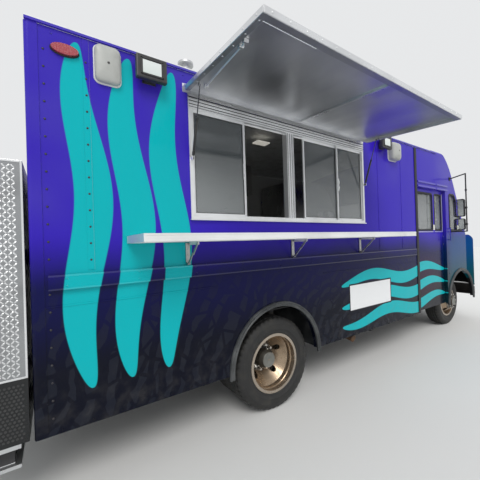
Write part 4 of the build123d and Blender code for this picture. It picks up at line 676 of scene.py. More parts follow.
# A quarter round of 22 mm over a rear corner, lapped 58 mm onto both walls, as (back, out).
quarter = [math.pi / 2 * step / 8 for step in range(9)]
moulding = [(0.058, 0.0), (0.058, 0.005)]
moulding += [(0.017 - 0.022 * math.sin(turn), 0.022 * math.cos(turn) - 0.017) for turn in quarter]
moulding += [(-0.005, -0.058), (0.0, -0.058)]
strips, posts, rows, film_rows = [], [], [], []
for sign in (-1, 1):
    strips.append(skin([[at(TAIL_X + back, sign * (SIDE + out), z) for back, out in moulding]
                        for z in (0.457, EAVES_Z + 0.002)], plain_wrap))
    for x in (PLAIN_LAP_X, *FILMED_LAPS_X):
        strips.append(bar(x - 0.018, x + 0.018, 0, LAP, LAP_FOOT_Z, EAVES_Z - 0.004, side_wrap, 0.001, 1,
                          sign))
    for x0, x1 in ((0.60, POST_X - 0.01), (TAIL_X + 0.06, -0.60)):
        strips.append(bar(x0, x1, 0, LAP, 1.16, 1.172, side_wrap, 0.001, 1, sign))
    posts.append(bar(POST_X - 0.030, POST_X + 0.028, -0.004, 0.010, 0.47, EAVES_Z - 0.012, seal, 0.006,
                     sign=sign))
    rows += [on_wall(sign, PLAIN_LAP_X, LAP_FOOT_Z + 0.06 + PITCH_FINE * i, LAP) for i in range(13)]
    rows += [on_wall(sign, TAIL_X + 0.082, 0.55 + PITCH_FINE * i) for i in range(22)]
    rows += [(at(TAIL_X - 0.0005, sign * 1.125, 0.55 + PITCH_WIDE * i), OUT_REAR) for i in range(14)]
    film_rows += [on_wall(sign, x, LAP_FOOT_Z + 0.06 + PITCH_FINE * i, LAP)
                  for x in FILMED_LAPS_X for i in range(13)]
    for x0, x1, z in ((-1.62, 2.95, TOP_ROW_Z), (-1.62, -0.60, LOW_ROW_Z), (0.62, 2.45, LOW_ROW_Z)):
        film_rows += [on_wall(sign, x, z) for x in np.arange(x0, x1, PITCH_WIDE)]
    film_rows += [on_wall(sign, 3.545, 0.60 + PITCH_WIDE * i) for i in range(5)]
    film_rows += [on_wall(sign, x, z, 0.025) for x in np.arange(-1.58, 2.45, 0.40) for z in (1.28, 1.323)]
for z in (TOP_ROW_Z, LOW_ROW_Z):
    rows += [(at(TAIL_X - 0.0005, y, z), OUT_REAR) for y in np.arange(-1.10, 1.12, PITCH_WIDE)]
fit("panel_laps", strips, "vehicle", "blue_body")
fit("door_post_rubbers", posts, "vehicle", "rubber")
fit("panel_rivets", [stamped(rivet, rows, dark_rivet)], "vehicle", "dark_body")
fit("filmed_rivets", [stamped(rivet, film_rows, side_wrap)], "vehicle", "blue_body")

# Roof: white painted sheets lapped across the vehicle, a spun extractor fan, an intake with
# louvres and a capped vent.
CROWN_Z = 2.875
EDGE_Z = 2.795
LAPS_X = (-1.20, -0.60, 0.0, 1.20, 1.80, 2.40)
LAP_STEPS = 24
roof_white = enamel("roof_white", (0.70, 0.71, 0.70), 0.4, 0.7, (0.33, 0.31, 0.27))
dress(roof_white, "roof")
vent_metal = metal("vent_metal", (0.62, 0.63, 0.64), 0.5, (1, 1, 12))
dress(vent_metal, "roof_vents")


def on_roof(x, y, proud):
    """A point over the roof's outer face."""
    return at(x, y, EDGE_Z + (CROWN_Z - EDGE_Z) * (1 - (y / (SIDE - 0.046)) ** 2) + proud)


laps, rows = [], []
for x in LAPS_X:
    across = [(i / LAP_STEPS * 2 - 1) * (SIDE - 0.075) for i in range(LAP_STEPS + 1)]
    section = ((-0.025, -0.002), (-0.023, 0.0035), (0.023, 0.0035), (0.025, -0.002))
    laps.append(skin([[on_roof(x + ahead, y, up) for ahead, up in section] for y in across], roof_white))
    for y in np.arange(-1.05, 1.06, 0.105):
        under_vents = 0.1 < y < 0.8 and x in (-1.20, 0.0)
        if not under_vents:
            rows.append((on_roof(x, y, 0.0033), OUT_UP))
fit("roof_laps", laps, "vehicle", "white_metal")
fit("roof_rivets", [stamped(rivet, rows, roof_white)], "vehicle", "white_metal")
louvre = slab((-0.20, -0.020, -0.004), (0.20, 0.004, 0.012), vent_metal, 0.002, 1)
kept_for_stamping("louvre", louvre)
rows = [(at(x, y, z), out) for z in np.arange(2.885, 3.00, 0.024) for x, y, out in (
    (-0.925, 0.20, OUT_RIGHT), (-0.925, 0.65, OUT_LEFT), (-1.15, 0.425, OUT_REAR), (-0.70, 0.425, OUT_FRONT))]
fit("intake_louvres", [stamped(louvre, rows, vent_metal)], "vehicle", "aluminium")
fan_lip = [(0.291, 0.0), (0.301, 0.004), (0.301, 0.012), (0.291, 0.016)]
fit("fan_lips", [lathe(fan_lip, at(0.300, 0.450, z), (0, 0, 1), vent_metal) for z in (2.988, 3.016)],
    "vehicle", "aluminium")


# Glass: tinted panes held in rubber, with a painted reflection that keeps them paler above and
# darker towards their lower edges, and faint streaks where they were last wiped.
glass = Finish("tinted_glass", IOR=1.8)
streaks = glass.noise(2.0, 6.0, (1, 1, 5)).rise(0.45, 0.8)
_, _, z = glass.place()
# Paler towards the top and darker below: a painted reflection.
tint_and_painted_reflection = glass.mix(1 - z.rise(1.75, 2.35), (0.085, 0.098, 0.105), (0.30, 0.32, 0.325))
glass.give(Base_Color=glass.mix(streaks * 0.4, tint_and_painted_reflection, (0.26, 0.28, 0.29)),
           Roughness=streaks * 0.07 + 0.02, Alpha=streaks * 0.06 + 0.54)
dress(glass, "window_glass", "cab_door_glass_right", "cab_door_glass_left", "rear_door_glass")

# Serving window: mill finish aluminium extrusions with a stepped header and a lip below, ribs
# on the sashes, rubber round the glass, and a hook latch where two sashes meet.
WINDOW_X = (-0.800, 1.327)
TRACK_X = (-0.775, 1.302)
SASH_Z = (1.706, 2.478)
GLAZED_Z = (1.723, 2.461)
HEADER_BARS = ((2.570, 2.578, 0.0110), (2.580, 2.589, 0.0100), (2.548, 2.558, 0.0110),
               (2.524, 2.531, 0.0105), (2.500, 2.505, 0.0105), (2.484, 2.488, 0.0100))
HEADER_GROOVES = ((2.4935, 2.4975), (2.512, 2.518), (2.536, 2.542), (2.561, 2.567))
INLAY_OUT = (0.0075, 0.0086)
LATCHES_X = (-0.318, 0.888)
# Each sash's two ends, how far inward it slides, and whether rubber round its glass is seen.
SASHES = ((-0.775, -0.300, -0.008, True), (-0.763, -0.288, -0.024, False), (0.390, 0.905, -0.024, True),
          (0.870, 1.302, -0.008, True))


def surround(x0, x1, out0, out1, z0, z1, width, finish, edge):
    """Four plates round an opening or a face on the serving side."""
    plates = ((x0, x1, z0, z0 + width), (x0, x1, z1 - width, z1), (x0, x0 + width, z0, z1),
              (x1 - width, x1, z0, z1))
    return [bar(left, right, out0, out1, low, high, finish, edge) for left, right, low, high in plates]


mill = metal("mill_aluminium", (0.86, 0.87, 0.88), 0.34, (1, 30, 30), 0.12, metallic=0.7)
dress(mill, "serving_window_frame")
bright_rim = metal("bright_rim", (0.84, 0.85, 0.86), 0.26, (20, 1, 1))
bars = [bar(WINDOW_X[0] - 0.003, WINDOW_X[1] + 0.003, 0, proud, low, high, bright_rim)
        for low, high, proud in HEADER_BARS]
bars.append(bar(WINDOW_X[0] - 0.006, WINDOW_X[1] + 0.006, 0, 0.022, 1.668, 1.678, mill))
bars += [bar(*TRACK_X, -0.030, -0.026, z, z + 0.009, mill, 0.0008) for z in (1.703, 2.472)]
bars += [bar(x, x + 0.003, 0.004, 0.012, *SASH_Z, mill, 0.0008) for x in (0.150, 0.232)]
rubbers_and_groove_shade = [bar(x, x + 0.004, *INLAY_OUT, *SASH_Z, seal, 0.0004) for x in (0.163, 0.190, 0.216)]
# The black strips down in the header's grooves are painted shade between the bright bars.
rubbers_and_groove_shade += [bar(WINDOW_X[0] + 0.004, WINDOW_X[1] - 0.004, *INLAY_OUT, low, high, seal, 0.0004)
            for low, high in HEADER_GROOVES]
for x0, x1, depth, glazed in SASHES:
    for x in (x0 + 0.004, x0 + 0.016, x1 - 0.018, x1 - 0.006):
        bars.append(bar(x, x + 0.002, depth, depth + 0.0025, *SASH_Z, mill, 0.0006))
    if glazed:
        rubbers_and_groove_shade += surround(x0 + 0.020, x1 - 0.020, depth - 0.002, depth + 0.0008, *GLAZED_Z, 0.004,
                            seal, 0.0006)
latches = []
for x in LATCHES_X:
    latches += [bar(x - 0.008, x + 0.006, -0.008, 0, 2.01, 2.14, mill),
                bar(x - 0.004, x + 0.003, 0, 0.009, 2.03, 2.055, mill),
                bar(x - 0.006, x + 0.004, 0, 0.007, 2.085, 2.115, mill)]
fit("window_trim", bars, "vehicle", "aluminium")
fit("glazing_rubbers", rubbers_and_groove_shade, "vehicle", "rubber")
fit("sash_latches", latches, "vehicle", "stainless")

# Awning: a folded aluminium sheet in an angle rim, brushed and dulled below, with painted
# reflections in drifts and bands there, and filmed violet on its top, with a strip light, rivets
# along the rim, and a bright rod in three clips. It rests a little below level, so its trim is
# laid out level and then turned about the hinge.
REAR_END, FRONT_END = -0.840, 1.340
HINGE_Y = -1.245
HINGE_Z = 2.610
ROOT_Y = HINGE_Y - 0.012
TIP_Y = HINGE_Y - 0.890
FOOT_Y = TIP_Y + 0.042
DROP = math.radians(4.5)
RIM_LOW = HINGE_Z - 0.036
ROD_Z = HINGE_Z - 0.018
RIVET_STEP = 0.112
awning_sheet = Finish("awning_sheet")
_, y, _ = awning_sheet.place()
_, _, nz = awning_sheet.facing()
# The drifting grey and the pale bands on the bare underside are painted reflections; the darker clouds are
# dulling.
reflection_drift = awning_sheet.noise(0.8, 4.0, (3, 0.6, 1))
clouds = awning_sheet.noise(2.6, 6.0, (2.5, 0.5, 1)).rise(0.3, 0.75)
reflection_bands = ((y + awning_sheet.noise(0.7, 3.0) * 0.3) * 17.0).sine() * 0.5 + 0.5
under = awning_sheet.mix(reflection_drift, (0.48, 0.49, 0.52), (0.80, 0.81, 0.82))
under = awning_sheet.mix(clouds * 0.25, under, (0.30, 0.31, 0.35))
under = awning_sheet.mix(reflection_bands * 0.25, under, (0.86, 0.87, 0.88))
top = nz.rise(0.4, 0.6)
awning_sheet.give(Base_Color=awning_sheet.mix(top, under, (0.03, 0.018, 0.40)), Metallic=1 - top,
                  Roughness=clouds * 0.10 + reflection_drift * 0.1 + 0.27)
awning_sheet.relief(awning_sheet.noise(40.0, 6.0), 0.0003)
dress(awning_sheet, "awning")


def let_down(*bits):
    """Turns bits drawn on the level awning to the awning's own slope."""
    hinge = at(0, HINGE_Y, HINGE_Z)
    for bit in bits:
        bit.data.transform(Matrix.Translation(-hinge))
        bit.data.transform(Matrix.Translation(hinge) @ Matrix.Rotation(DROP, 4, "X"))
    return bits


# The rim's downward flanges are a darker grey than its upright faces: painted shade.
rim_grey_painted_shade = metal("rim_grey_painted_shade", (0.50, 0.51, 0.52), 0.32, (20, 1, 1))
rim = [slab(at(0.289, TIP_Y + 0.008, HINGE_Z - 0.0185), at(0.311, HINGE_Y - 0.016, HINGE_Z - 0.0158),
            bright_rim, 0.0008)]
for x0, x1, y0, y1 in ((REAR_END, FRONT_END, TIP_Y, FOOT_Y), (REAR_END, REAR_END + 0.030, FOOT_Y, ROOT_Y),
                       (FRONT_END - 0.010, FRONT_END, FOOT_Y, ROOT_Y)):
    rim.append(slab(at(x0, y0, RIM_LOW), at(x1, y1, RIM_LOW + 0.003), rim_grey_painted_shade, 0.001))
for x0, x1, y0, y1 in ((REAR_END + 0.002, FRONT_END - 0.002, TIP_Y - 0.003, TIP_Y),
                       (REAR_END - 0.003, REAR_END, TIP_Y, ROOT_Y),
                       (FRONT_END, FRONT_END + 0.003, TIP_Y, ROOT_Y)):
    rim.append(slab(at(x0, y0, RIM_LOW + 0.002), at(x1, y1, HINGE_Z - 0.002), bright_rim, 0.001))
fit("awning_rim_trim", let_down(*rim), "awning", "aluminium")
strip_face = Finish("strip_light_face", Roughness=0.35, Emission_Color=(0.9, 0.95, 1.0),
                    Emission_Strength=0.3)
dots = strip_face.waves(14.0, wave_type="BANDS", bands_direction="X")
strip_face.paint(dots, (0.70, 0.72, 0.74), (0.90, 0.92, 0.93))
strip = slab(at(-0.79, -2.069, HINGE_Z - 0.014), at(-0.42, -2.063, HINGE_Z - 0.004), strip_face)
fit("awning_strip_light", let_down(strip), "awning", "lamp")
start, end = at(-0.775, -1.90, ROD_Z), at(-0.725, -1.33, ROD_Z)
rod = [lathe([(0.005, 0.0), (0.005, (end - start).length)], start, end - start, mill, 12)]
for x, y in ((-0.775, -1.90), (-0.770, -1.85), (-0.725, -1.35)):
    rod.append(slab(at(x - 0.016, y - 0.010, HINGE_Z - 0.024), at(x + 0.016, y + 0.010, HINGE_Z - 0.004),
                    bright_rim, 0.003))
fit("awning_rod", let_down(*rod), "awning", "stainless")
rows = [(at(x, TIP_Y - 0.003, ROD_Z), OUT_RIGHT) for x in np.arange(REAR_END + 0.05, FRONT_END, RIVET_STEP)]
for y in np.arange(TIP_Y + 0.05, HINGE_Y - 0.03, RIVET_STEP):
    rows += [(at(REAR_END - 0.003, y, ROD_Z), OUT_REAR), (at(FRONT_END + 0.003, y, ROD_Z), OUT_FRONT),
             (at(REAR_END + 0.014, y, RIM_LOW), OUT_DOWN), (at(FRONT_END - 0.005, y, RIM_LOW), OUT_DOWN)]
fit("awning_rivets", let_down(stamped(rivet, rows, bright_rim, 0.8)), "awning", "stainless")

# Gas struts: black painted tubes that slide on dark rods, with a rubber collar at each end of
# the tube.
STRUTS_X = (-0.785, 1.312)
STRUT_FOOT = (-1.225, 2.110)
STRUT_LINE = Vector((0, -0.1471, 0.4579)).normalized()
dress(enamel("strut_black", (0.010, 0.010, 0.011), 0.3, 0.25), "awning_strut_tubes")
dress(metal("dark_rod", (0.10, 0.10, 0.11), 0.22, (1, 1, 1), 0.1), "awning_strut_rods")
collars = []
for x in STRUTS_X:
    for along, chamfer, length in ((0.252, 0.002, 0.018), (0.024, 0.001, 0.024)):
        collar = [(0.0092, 0.0), (0.0104, chamfer), (0.0104, length - 0.002), (0.0092, length)]
        collars.append(lathe(collar, at(x, *STRUT_FOOT) + STRUT_LINE * along, STRUT_LINE, seal, 20))
fit("strut_collars", collars, "strut_tubes", "black_plastic")

# Serving shelf: a folded stainless sheet, scratched on top and with a hemmed front edge, held
# by flat steel braces on screwed brackets.
SHELF_X = (-1.244, 1.639)
HEMS_Z = ((1.511, 1.521), (1.547, 1.555))
BRACKETS_X = (-0.830, 0.1975, 1.225)
shelf_steel = metal("shelf_steel", (0.93, 0.94, 0.93), 0.34, (1, 26, 26), 0.4, metallic=0.65)
dress(shelf_steel, "serving_shelf")
zinc = metal("zinc_bars", (0.50, 0.50, 0.49), 0.4)
dress(zinc, "shelf_brackets", "shelf_braces_lower", "shelf_braces_upper")
fit("shelf_hems", [bar(*SHELF_X, 0.400, 0.403, *hem, shelf_steel, 0.001) for hem in HEMS_Z],
    "shelf", "aluminium")
screw = turned_stamp("screw", [(0.0055, 0.0), (0.0052, 0.0016), (0.0030, 0.0028), (0.0008, 0.0030)], 10)
rows = [on_wall(-1, x - 0.0065, z, 0.008) for x in BRACKETS_X for z in (1.375, 1.42, 1.46)]
fit("bracket_screws", [stamped(screw, rows, zinc)], "vehicle", "stainless")

# Wheel arch flares: moulded rubber with two rolled beads, screwed on from outside. They stand
# for the plain rings. Rubber splash guards hang before and behind the rear wheels, from the
# floor down to the skirt's edge.
ARCH = 0.475
ARCH_Z = 0.450
SKIRT_Z = 0.420
FLARE_STEPS = 64
GUARDS_X = (-0.551, 0.545)
flare_rubber = Finish("flare_rubber")
dusty = flare_rubber.noise(7.0, 6.0).rise(0.4, 0.75)
flare_rubber.paint(dusty * 0.7, (0.030, 0.033, 0.035), (0.115, 0.120, 0.123))
flare_rubber.give(Roughness=dusty * 0.3 + 0.4)
flare_rubber.relief(flare_rubber.noise(90.0, 3.0), 0.0004)
flare_section = [(0, 0), (0, 0.0135), (0.003, 0.0175), (0.008, 0.0195), (0.013, 0.0175), (0.016, 0.0140),
                 (0.024, 0.0130), (0.028, 0.0160), (0.033, 0.0195), (0.038, 0.0185), (0.042, 0.0130),
                 (0.043, 0.0060), (0.043, 0)]
flare_end = math.asin((SKIRT_Z - ARCH_Z) / (ARCH + 0.043))


def on_arch(sign, x, turn, across, proud):
    """A place for a stamp outside a wheel arch's edge."""
    r = ARCH + across
    return on_wall(sign, x + r * math.cos(turn), ARCH_Z + r * math.sin(turn), proud)


flares, guards, rows = [], [], []
for sign in (-1, 1):
    for x in (0, WHEELBASE):
        turns = np.linspace(flare_end, math.pi - flare_end, FLARE_STEPS + 1)
        flares.append(skin([[on_arch(sign, x, turn, across, proud)[0] for across, proud in flare_section]
                            for turn in turns], flare_rubber, smooth=40))
        rows += [on_arch(sign, x, math.radians(6 + 16.8 * i), 0.020, 0.0132) for i in range(11)]
    for x in GUARDS_X:
        guards.append(bar(x, x + 0.006, -0.725, -0.030, 0.430, 0.760, flare_rubber, sign=sign))
fit("wheel_flares", flares, "vehicle", "rubber", "arch_flares")
fit("splash_guards", guards, "vehicle", "rubber")
fit("flare_screws", [stamped(screw, rows, dark_rivet, 0.9)], "vehicle", "stainless")

# Lamps: fluted red lenses, with black rubber under the two at the tail, and pale headlamps
# behind bright rings.
HEADLAMP = (0.760, 0.930)
TAIL_LAMP = (-1.555, 2.630)
FRONT_X = 4.7995
# Half the length and height of each step of a tail lamp's rubber, and how far out it lies.
LAMP_BASE = ((0.074, 0.036, 0.0), (0.074, 0.036, 0.004), (0.070, 0.032, 0.009), (0.066, 0.028, 0.009))
lens = Finish("lamp_lens", Roughness=0.2, Coat_Weight=0.3)
x, _, _ = lens.place()
fluting = (x * 900.0).sine() * 0.5 + 0.5
lens.paint(fluting * 0.4, (0.30, 0.020, 0.035), (0.45, 0.075, 0.085))
lens.relief(fluting, 0.0008)
dress(lens, "lamps")
white_lens = Finish("headlamp_glass", Roughness=0.08, Coat_Weight=0.7)
white_lens.paint(white_lens.cells(60.0), (0.62, 0.64, 0.66), (0.88, 0.9, 0.9))
white_lens.relief(white_lens.cells(45.0), 0.002)
chrome = metal("chrome", (0.80, 0.80, 0.81), 0.08, (1, 1, 1), 0.1)
dome = [(0.0995, 0.005), (0.0975, 0.013), (0.085, 0.021), (0.055, 0.027), (0.001, 0.030)]
ring = [(0.1005, 0.0), (0.1005, 0.012), (0.106, 0.016), (0.116, 0.012), (0.120, 0.0)]
domes, bezels, bases = [], [], []
for sign in (-1, 1):
    middle = at(FRONT_X, sign * HEADLAMP[0], HEADLAMP[1])
    domes.append(lathe(dome, middle, (1, 0, 0), white_lens))
    bezels.append(lathe(ring, middle, (1, 0, 0), chrome))
    bases.append(skin([[at(TAIL_LAMP[0] + across * cosine, sign * (SIDE + proud), TAIL_LAMP[1] + up * sine)
                        for cosine, sine in circle(40)] for across, up, proud in LAMP_BASE], seal))
fit("headlamp_lenses", domes, "vehicle", "glass")
fit("lamp_bases", bases, "vehicle", "rubber")
fit("headlamp_rings", bezels, "vehicle", "stainless")

# Wall fittings: two bulged covers of grey beige plastic with a light rim and a centre screw,
# and two floodlights on brackets. They stand for the plain solids.
# Each cover's middle, width, height and depth, and each floodlight's middle.
COVERS = ((-1.330, 2.610, 0.160, 0.240, 0.048), (1.955, 2.575, 0.200, 0.230, 0.095))
FLOODLIGHTS = ((-1.076, 2.637), (1.710, 2.640))
FLOOD_FRONT = 0.085
beige = Finish("cover_plastic")
dirt = beige.noise(9.0, 6.0).rise(0.45, 0.8)
beige.paint(dirt * 0.5, (0.41, 0.42, 0.40), (0.21, 0.21, 0.19))
beige.give(Roughness=dirt * 0.2 + 0.38)
beige.relief(beige.noise(70.0, 3.0), 0.0004)
pale_rim = mottled("cover_rim", 0.4, 30.0, (0.58, 0.58, 0.56), (0.74, 0.74, 0.72))
flood_black = mottled("flood_frame", 0.4, 30.0, (0.015, 0.015, 0.016), (0.05, 0.05, 0.048))
flood_face = Finish("flood_face", Roughness=0.15, Coat_Weight=0.4)
_, _, z = flood_face.place()
# The face is paler towards its top: a painted reflection.
flood_face.paint(z.rise(2.56, 2.72), (0.62, 0.68, 0.65), (0.76, 0.80, 0.78))


def rounded(low, high, radius, steps):
    """Corners of a flat rectangle with round corners."""
    corners = []
    for u, v, start in ((high[0] - radius, high[1] - radius, 0), (low[0] + radius, high[1] - radius, 90),
                        (low[0] + radius, low[1] + radius, 180), (high[0] - radius, low[1] + radius, 270)):
        turns = np.radians(np.linspace(start, start + 90, steps + 1))
        corners += [(u + radius * math.cos(turn), v + radius * math.sin(turn)) for turn in turns]
    return corners


def bulged(x, z, width, height, depth, finish, radius, power):
    """A cover with a rounded outline that swells from its rim to its middle."""
    outline = rounded((-width / 2, -height / 2), (width / 2, height / 2), radius, 8)
    turns = [math.pi / 2 * i / 8 for i in range(1, 8)]
    swells = [(1, 0), (1, 0.35)] + [(math.cos(turn), 0.35 + 0.65 * math.sin(turn) ** power) for turn in turns]
    return skin([[at(x + u * share, -SIDE - depth * rise, z + v * share) for u, v in outline]
                 for share, rise in swells], finish, smooth=50)


shells, rims, heads, faces, rows = [], [], [], [], []
for x, z, width, height, depth in COVERS:
    rims.append(bulged(x, z, width, height, 0.012, pale_rim, 0.038, 0.4))
    shells.append(bulged(x, z, width - 0.012, height - 0.012, depth, beige, 0.036, 0.6))
    rows.append(on_wall(-1, x, z, depth))
for x, z in FLOODLIGHTS:
    faces.append(bar(x - 0.060, x + 0.060, FLOOD_FRONT, FLOOD_FRONT + 0.0015, z - 0.042, z + 0.042,
                     flood_face, 0.001))
    for half, out0, out1, z0, z1, edge in (
        (0.099, 0.046, FLOOD_FRONT, -0.075, 0.075, 0.008), (0.040, 0.004, 0.034, -0.060, -0.030, 0.004),
        (0.045, 0, 0.006, -0.068, -0.012, 0.002),
    ):
        heads.append(bar(x - half, x + half, out0, out1, z + z0, z + z1, flood_black, edge))
    heads += surround(x - 0.072, x + 0.072, FLOOD_FRONT, FLOOD_FRONT + 0.005, z - 0.054, z + 0.054, 0.008,
                      flood_black, 0.001)
    for fin in np.arange(x - 0.080, x + 0.081, 0.020):
        heads.append(bar(fin - 0.002, fin + 0.002, 0.030, 0.048, z - 0.060, z + 0.060, flood_black, 0.0008))
fit("cover_shells", shells, "vehicle", "grey_plastic", "wall_fittings")
fit("cover_rims", rims, "vehicle", "white_metal")
fit("floodlights", heads, "vehicle", "black_plastic")
fit("floodlight_faces", faces, "vehicle", "glass")
fit("cover_screws", [stamped(screw, rows, flood_black, 1.3)], "vehicle", "black_plastic")


# Sliding cab doors: rubber gaskets round both panes, a bright strip on the front edge, a pale
# latch block and a chromed pull. All of it is thin enough to slide behind the wall.
DOOR_OUT = -0.045
PANES_X = ((2.650, 3.135), (3.200, 3.430))
PANE_Z = (1.600, 2.140)
door_gasket = [(-0.013, -0.004), (-0.013, 0.001), (-0.008, 0.003), (0.008, 0.003), (0.013, 0.001),
               (0.013, -0.004)]
cream = mottled("cream_plastic", 0.4, 20.0, (0.64, 0.63, 0.59), (0.76, 0.75, 0.72))


def framed(path, facing, section, finish):
    """A section of (across, proud) corners drawn round a closed flat path that faces one way."""
    facing = Vector(facing)
    rings = []
    for i, here in enumerate(path):
        arriving = (here - path[i - 1]).normalized()
        leaving = (path[(i + 1) % len(path)] - here).normalized()
        side = facing.cross((arriving + leaving).normalized())
        mitre = 1 / max(0.4, side.dot(facing.cross(leaving)))
        rings.append([here + side * across * mitre + facing * proud for across, proud in section])
    return skin(rings, finish, loop=True)


for side, sign in SIDES:
    body = f"cab_door_{side}"
    gaskets = []
    trim = [bar(3.448, 3.462, DOOR_OUT, DOOR_OUT + 0.003, 1.57, 2.16, mill, 0.001, sign=sign),
            bar(3.444, 3.470, DOOR_OUT - 0.002, DOOR_OUT + 0.017, 1.375, 1.505, chrome, 0.005, sign=sign)]
    for x0, x1 in PANES_X:
        outline = rounded((x0, PANE_Z[0]), (x1, PANE_Z[1]), 0.030, 5)
        path = [at(x, sign * (SIDE + DOOR_OUT), z) for x, z in outline]
        gaskets.append(framed(path, (0, sign, 0), door_gasket, seal))
        trim.append(bar(x0 - 0.010, x1 + 0.010, DOOR_OUT, DOOR_OUT + 0.003, 1.570, 1.578, mill, 0.001,
                        sign=sign))
    block = bar(3.145, 3.190, DOOR_OUT - 0.001, DOOR_OUT + 0.004, 1.60, 1.68, cream, 0.0015, sign=sign)
    fit(f"door_bright_trim_{side}", trim, body, "aluminium")
    fit(f"door_gaskets_{side}", gaskets, body, "rubber")
    fit(f"door_latch_block_{side}", [block], body, "white_metal")

# Cab glazing: rubber round the fixed side windows and both windshield panes, and two wipers
# with flat arms parked on the glass.
SLOPE = math.radians(61.8)
LEAN = Vector((math.sin(SLOPE), 0, math.cos(SLOPE)))
BROW = (3.7244, 2.4636)
SIDE_PANE = [Vector(corner) for corner in ((3.610, 1.600), (4.105, 1.600), (3.800, 2.160), (3.610, 2.160))]
WINDSHIELD_Y = (0.025, 1.085)
WINDSHIELD_Z = (1.600, 2.260)
CORNER = 0.045
BEND_STEPS = 4
gasket = [(-0.018, -0.004), (-0.018, 0.002), (-0.010, 0.007), (0.004, 0.007), (0.010, 0.003),
          (0.010, -0.004)]


def on_windshield(y, z, proud=0.0):
    """A point over the slanting outer face of the cab's front."""
    return at(BROW[0] + (BROW[1] - z) / math.tan(SLOPE), y, z) + LEAN * proud


gaskets, wipers = [], []
for sign in (-1, 1):
    path = []
    for i, here in enumerate(SIDE_PANE):
        start = here + (SIDE_PANE[i - 1] - here).normalized() * CORNER
        end = here + (SIDE_PANE[(i + 1) % 4] - here).normalized() * CORNER
        for t in (step / BEND_STEPS for step in range(BEND_STEPS + 1)):
            spot = start * (1 - t) ** 2 + here * 2 * t * (1 - t) + end * t * t
            path.append(at(spot.x, sign * SIDE, spot.y))
    gaskets.append(framed(path, (0, sign, 0), gasket, seal))
    inner, outer = sorted(sign * y for y in WINDSHIELD_Y)
    outline = rounded((inner, WINDSHIELD_Z[0]), (outer, WINDSHIELD_Z[1]), 0.05, 5)
    gaskets.append(framed([on_windshield(y, z) for y, z in outline], LEAN, gasket, seal))
    middle = sign * 0.52
    pivot = on_windshield(middle + 0.10, 1.560)
    wipers.append(lathe([(0.024, 0), (0.022, 0.014), (0.013, 0.026), (0.001, 0.028)], pivot, LEAN,
                        black_grain, 24))
    start = pivot + LEAN * 0.020
    arm = on_windshield(middle - 0.34, 1.640, 0.022) - start
    wipers.append(lathe([(0.0075, 0.0), (0.0075, 0.16), (0.0045, 0.18), (0.0045, arm.length)], start, arm,
                        black_grain, 12))
    start = on_windshield(middle - 0.62, 1.640, 0.014)
    blade = on_windshield(middle - 0.06, 1.645, 0.014) - start
    wipers.append(lathe([(0.004, 0.0), (0.0065, 0.02), (0.0065, blade.length - 0.02), (0.004, blade.length)],
                        start, blade, seal, 10))
fit("cab_glazing_rubbers", gaskets, "vehicle", "rubber")
fit("wipers", wipers, "vehicle", "black_plastic")

# Mirrors: black tube loops and plastic heads, held by clamps, with silvered glass let into
# their rear faces.
MIRROR_Y = (1.263, 1.384)
MIRRORS_Z = ((1.807, 2.053), (1.602, 1.753))
MIRROR_TUBE = (3.650, 1.406)
GLASS_X = (3.605, 3.6035)
CLAMPS_Z = (1.915, 1.6625, 2.185)
dress(black_grain, "mirrors")
silvered = metal("mirror_glass", (0.86, 0.88, 0.88), 0.03, (1, 1, 1), 0.05)
plates, clamps = [], []
for sign in (-1, 1):
    inner, outer = sorted(sign * y for y in MIRROR_Y)
    for low, high in MIRRORS_Z:
        outline = rounded((inner, low), (outer, high), 0.018, 6)
        plates.append(skin([[at(x, y, z) for y, z in outline] for x in GLASS_X], silvered))
    for z in CLAMPS_Z:
        clamps.append(lathe([(0.0092, 0.0), (0.014, 0.002), (0.014, 0.028), (0.0092, 0.030)],
                            at(MIRROR_TUBE[0], sign * MIRROR_TUBE[1], z), (0, 0, 1), black_grain, 20))
fit("mirror_plates", plates, "vehicle", "glass")
fit("mirror_clamps", clamps, "vehicle", "black_plastic")

# Front end: a black grille in a bright frame and a black channel bumper, with a pale strip along
# it as a painted highlight, hood latches, amber turn lamps and steel bolts.
BUMPER_X = 4.880
HIGHLIGHT_STRIP_Z = (0.560, 0.590)
GRILLE_X = (4.798, 4.806)
GRILLE_HALF = 0.499
dress(enamel("grille_black", (0.015, 0.015, 0.016), 0.35, 0.3), "grille", "front_bumper")
amber_lens = Finish("amber_lens", Roughness=0.2, Coat_Weight=0.5)
amber_lens.paint(amber_lens.cells(120.0), (0.62, 0.18, 0.02), (0.90, 0.38, 0.06))
bolt = turned_stamp("bolt", [(0.016, 0), (0.015, 0.004), (0.010, 0.0045), (0.010, 0.010), (0.008, 0.012)],
                    6, smooth=0)
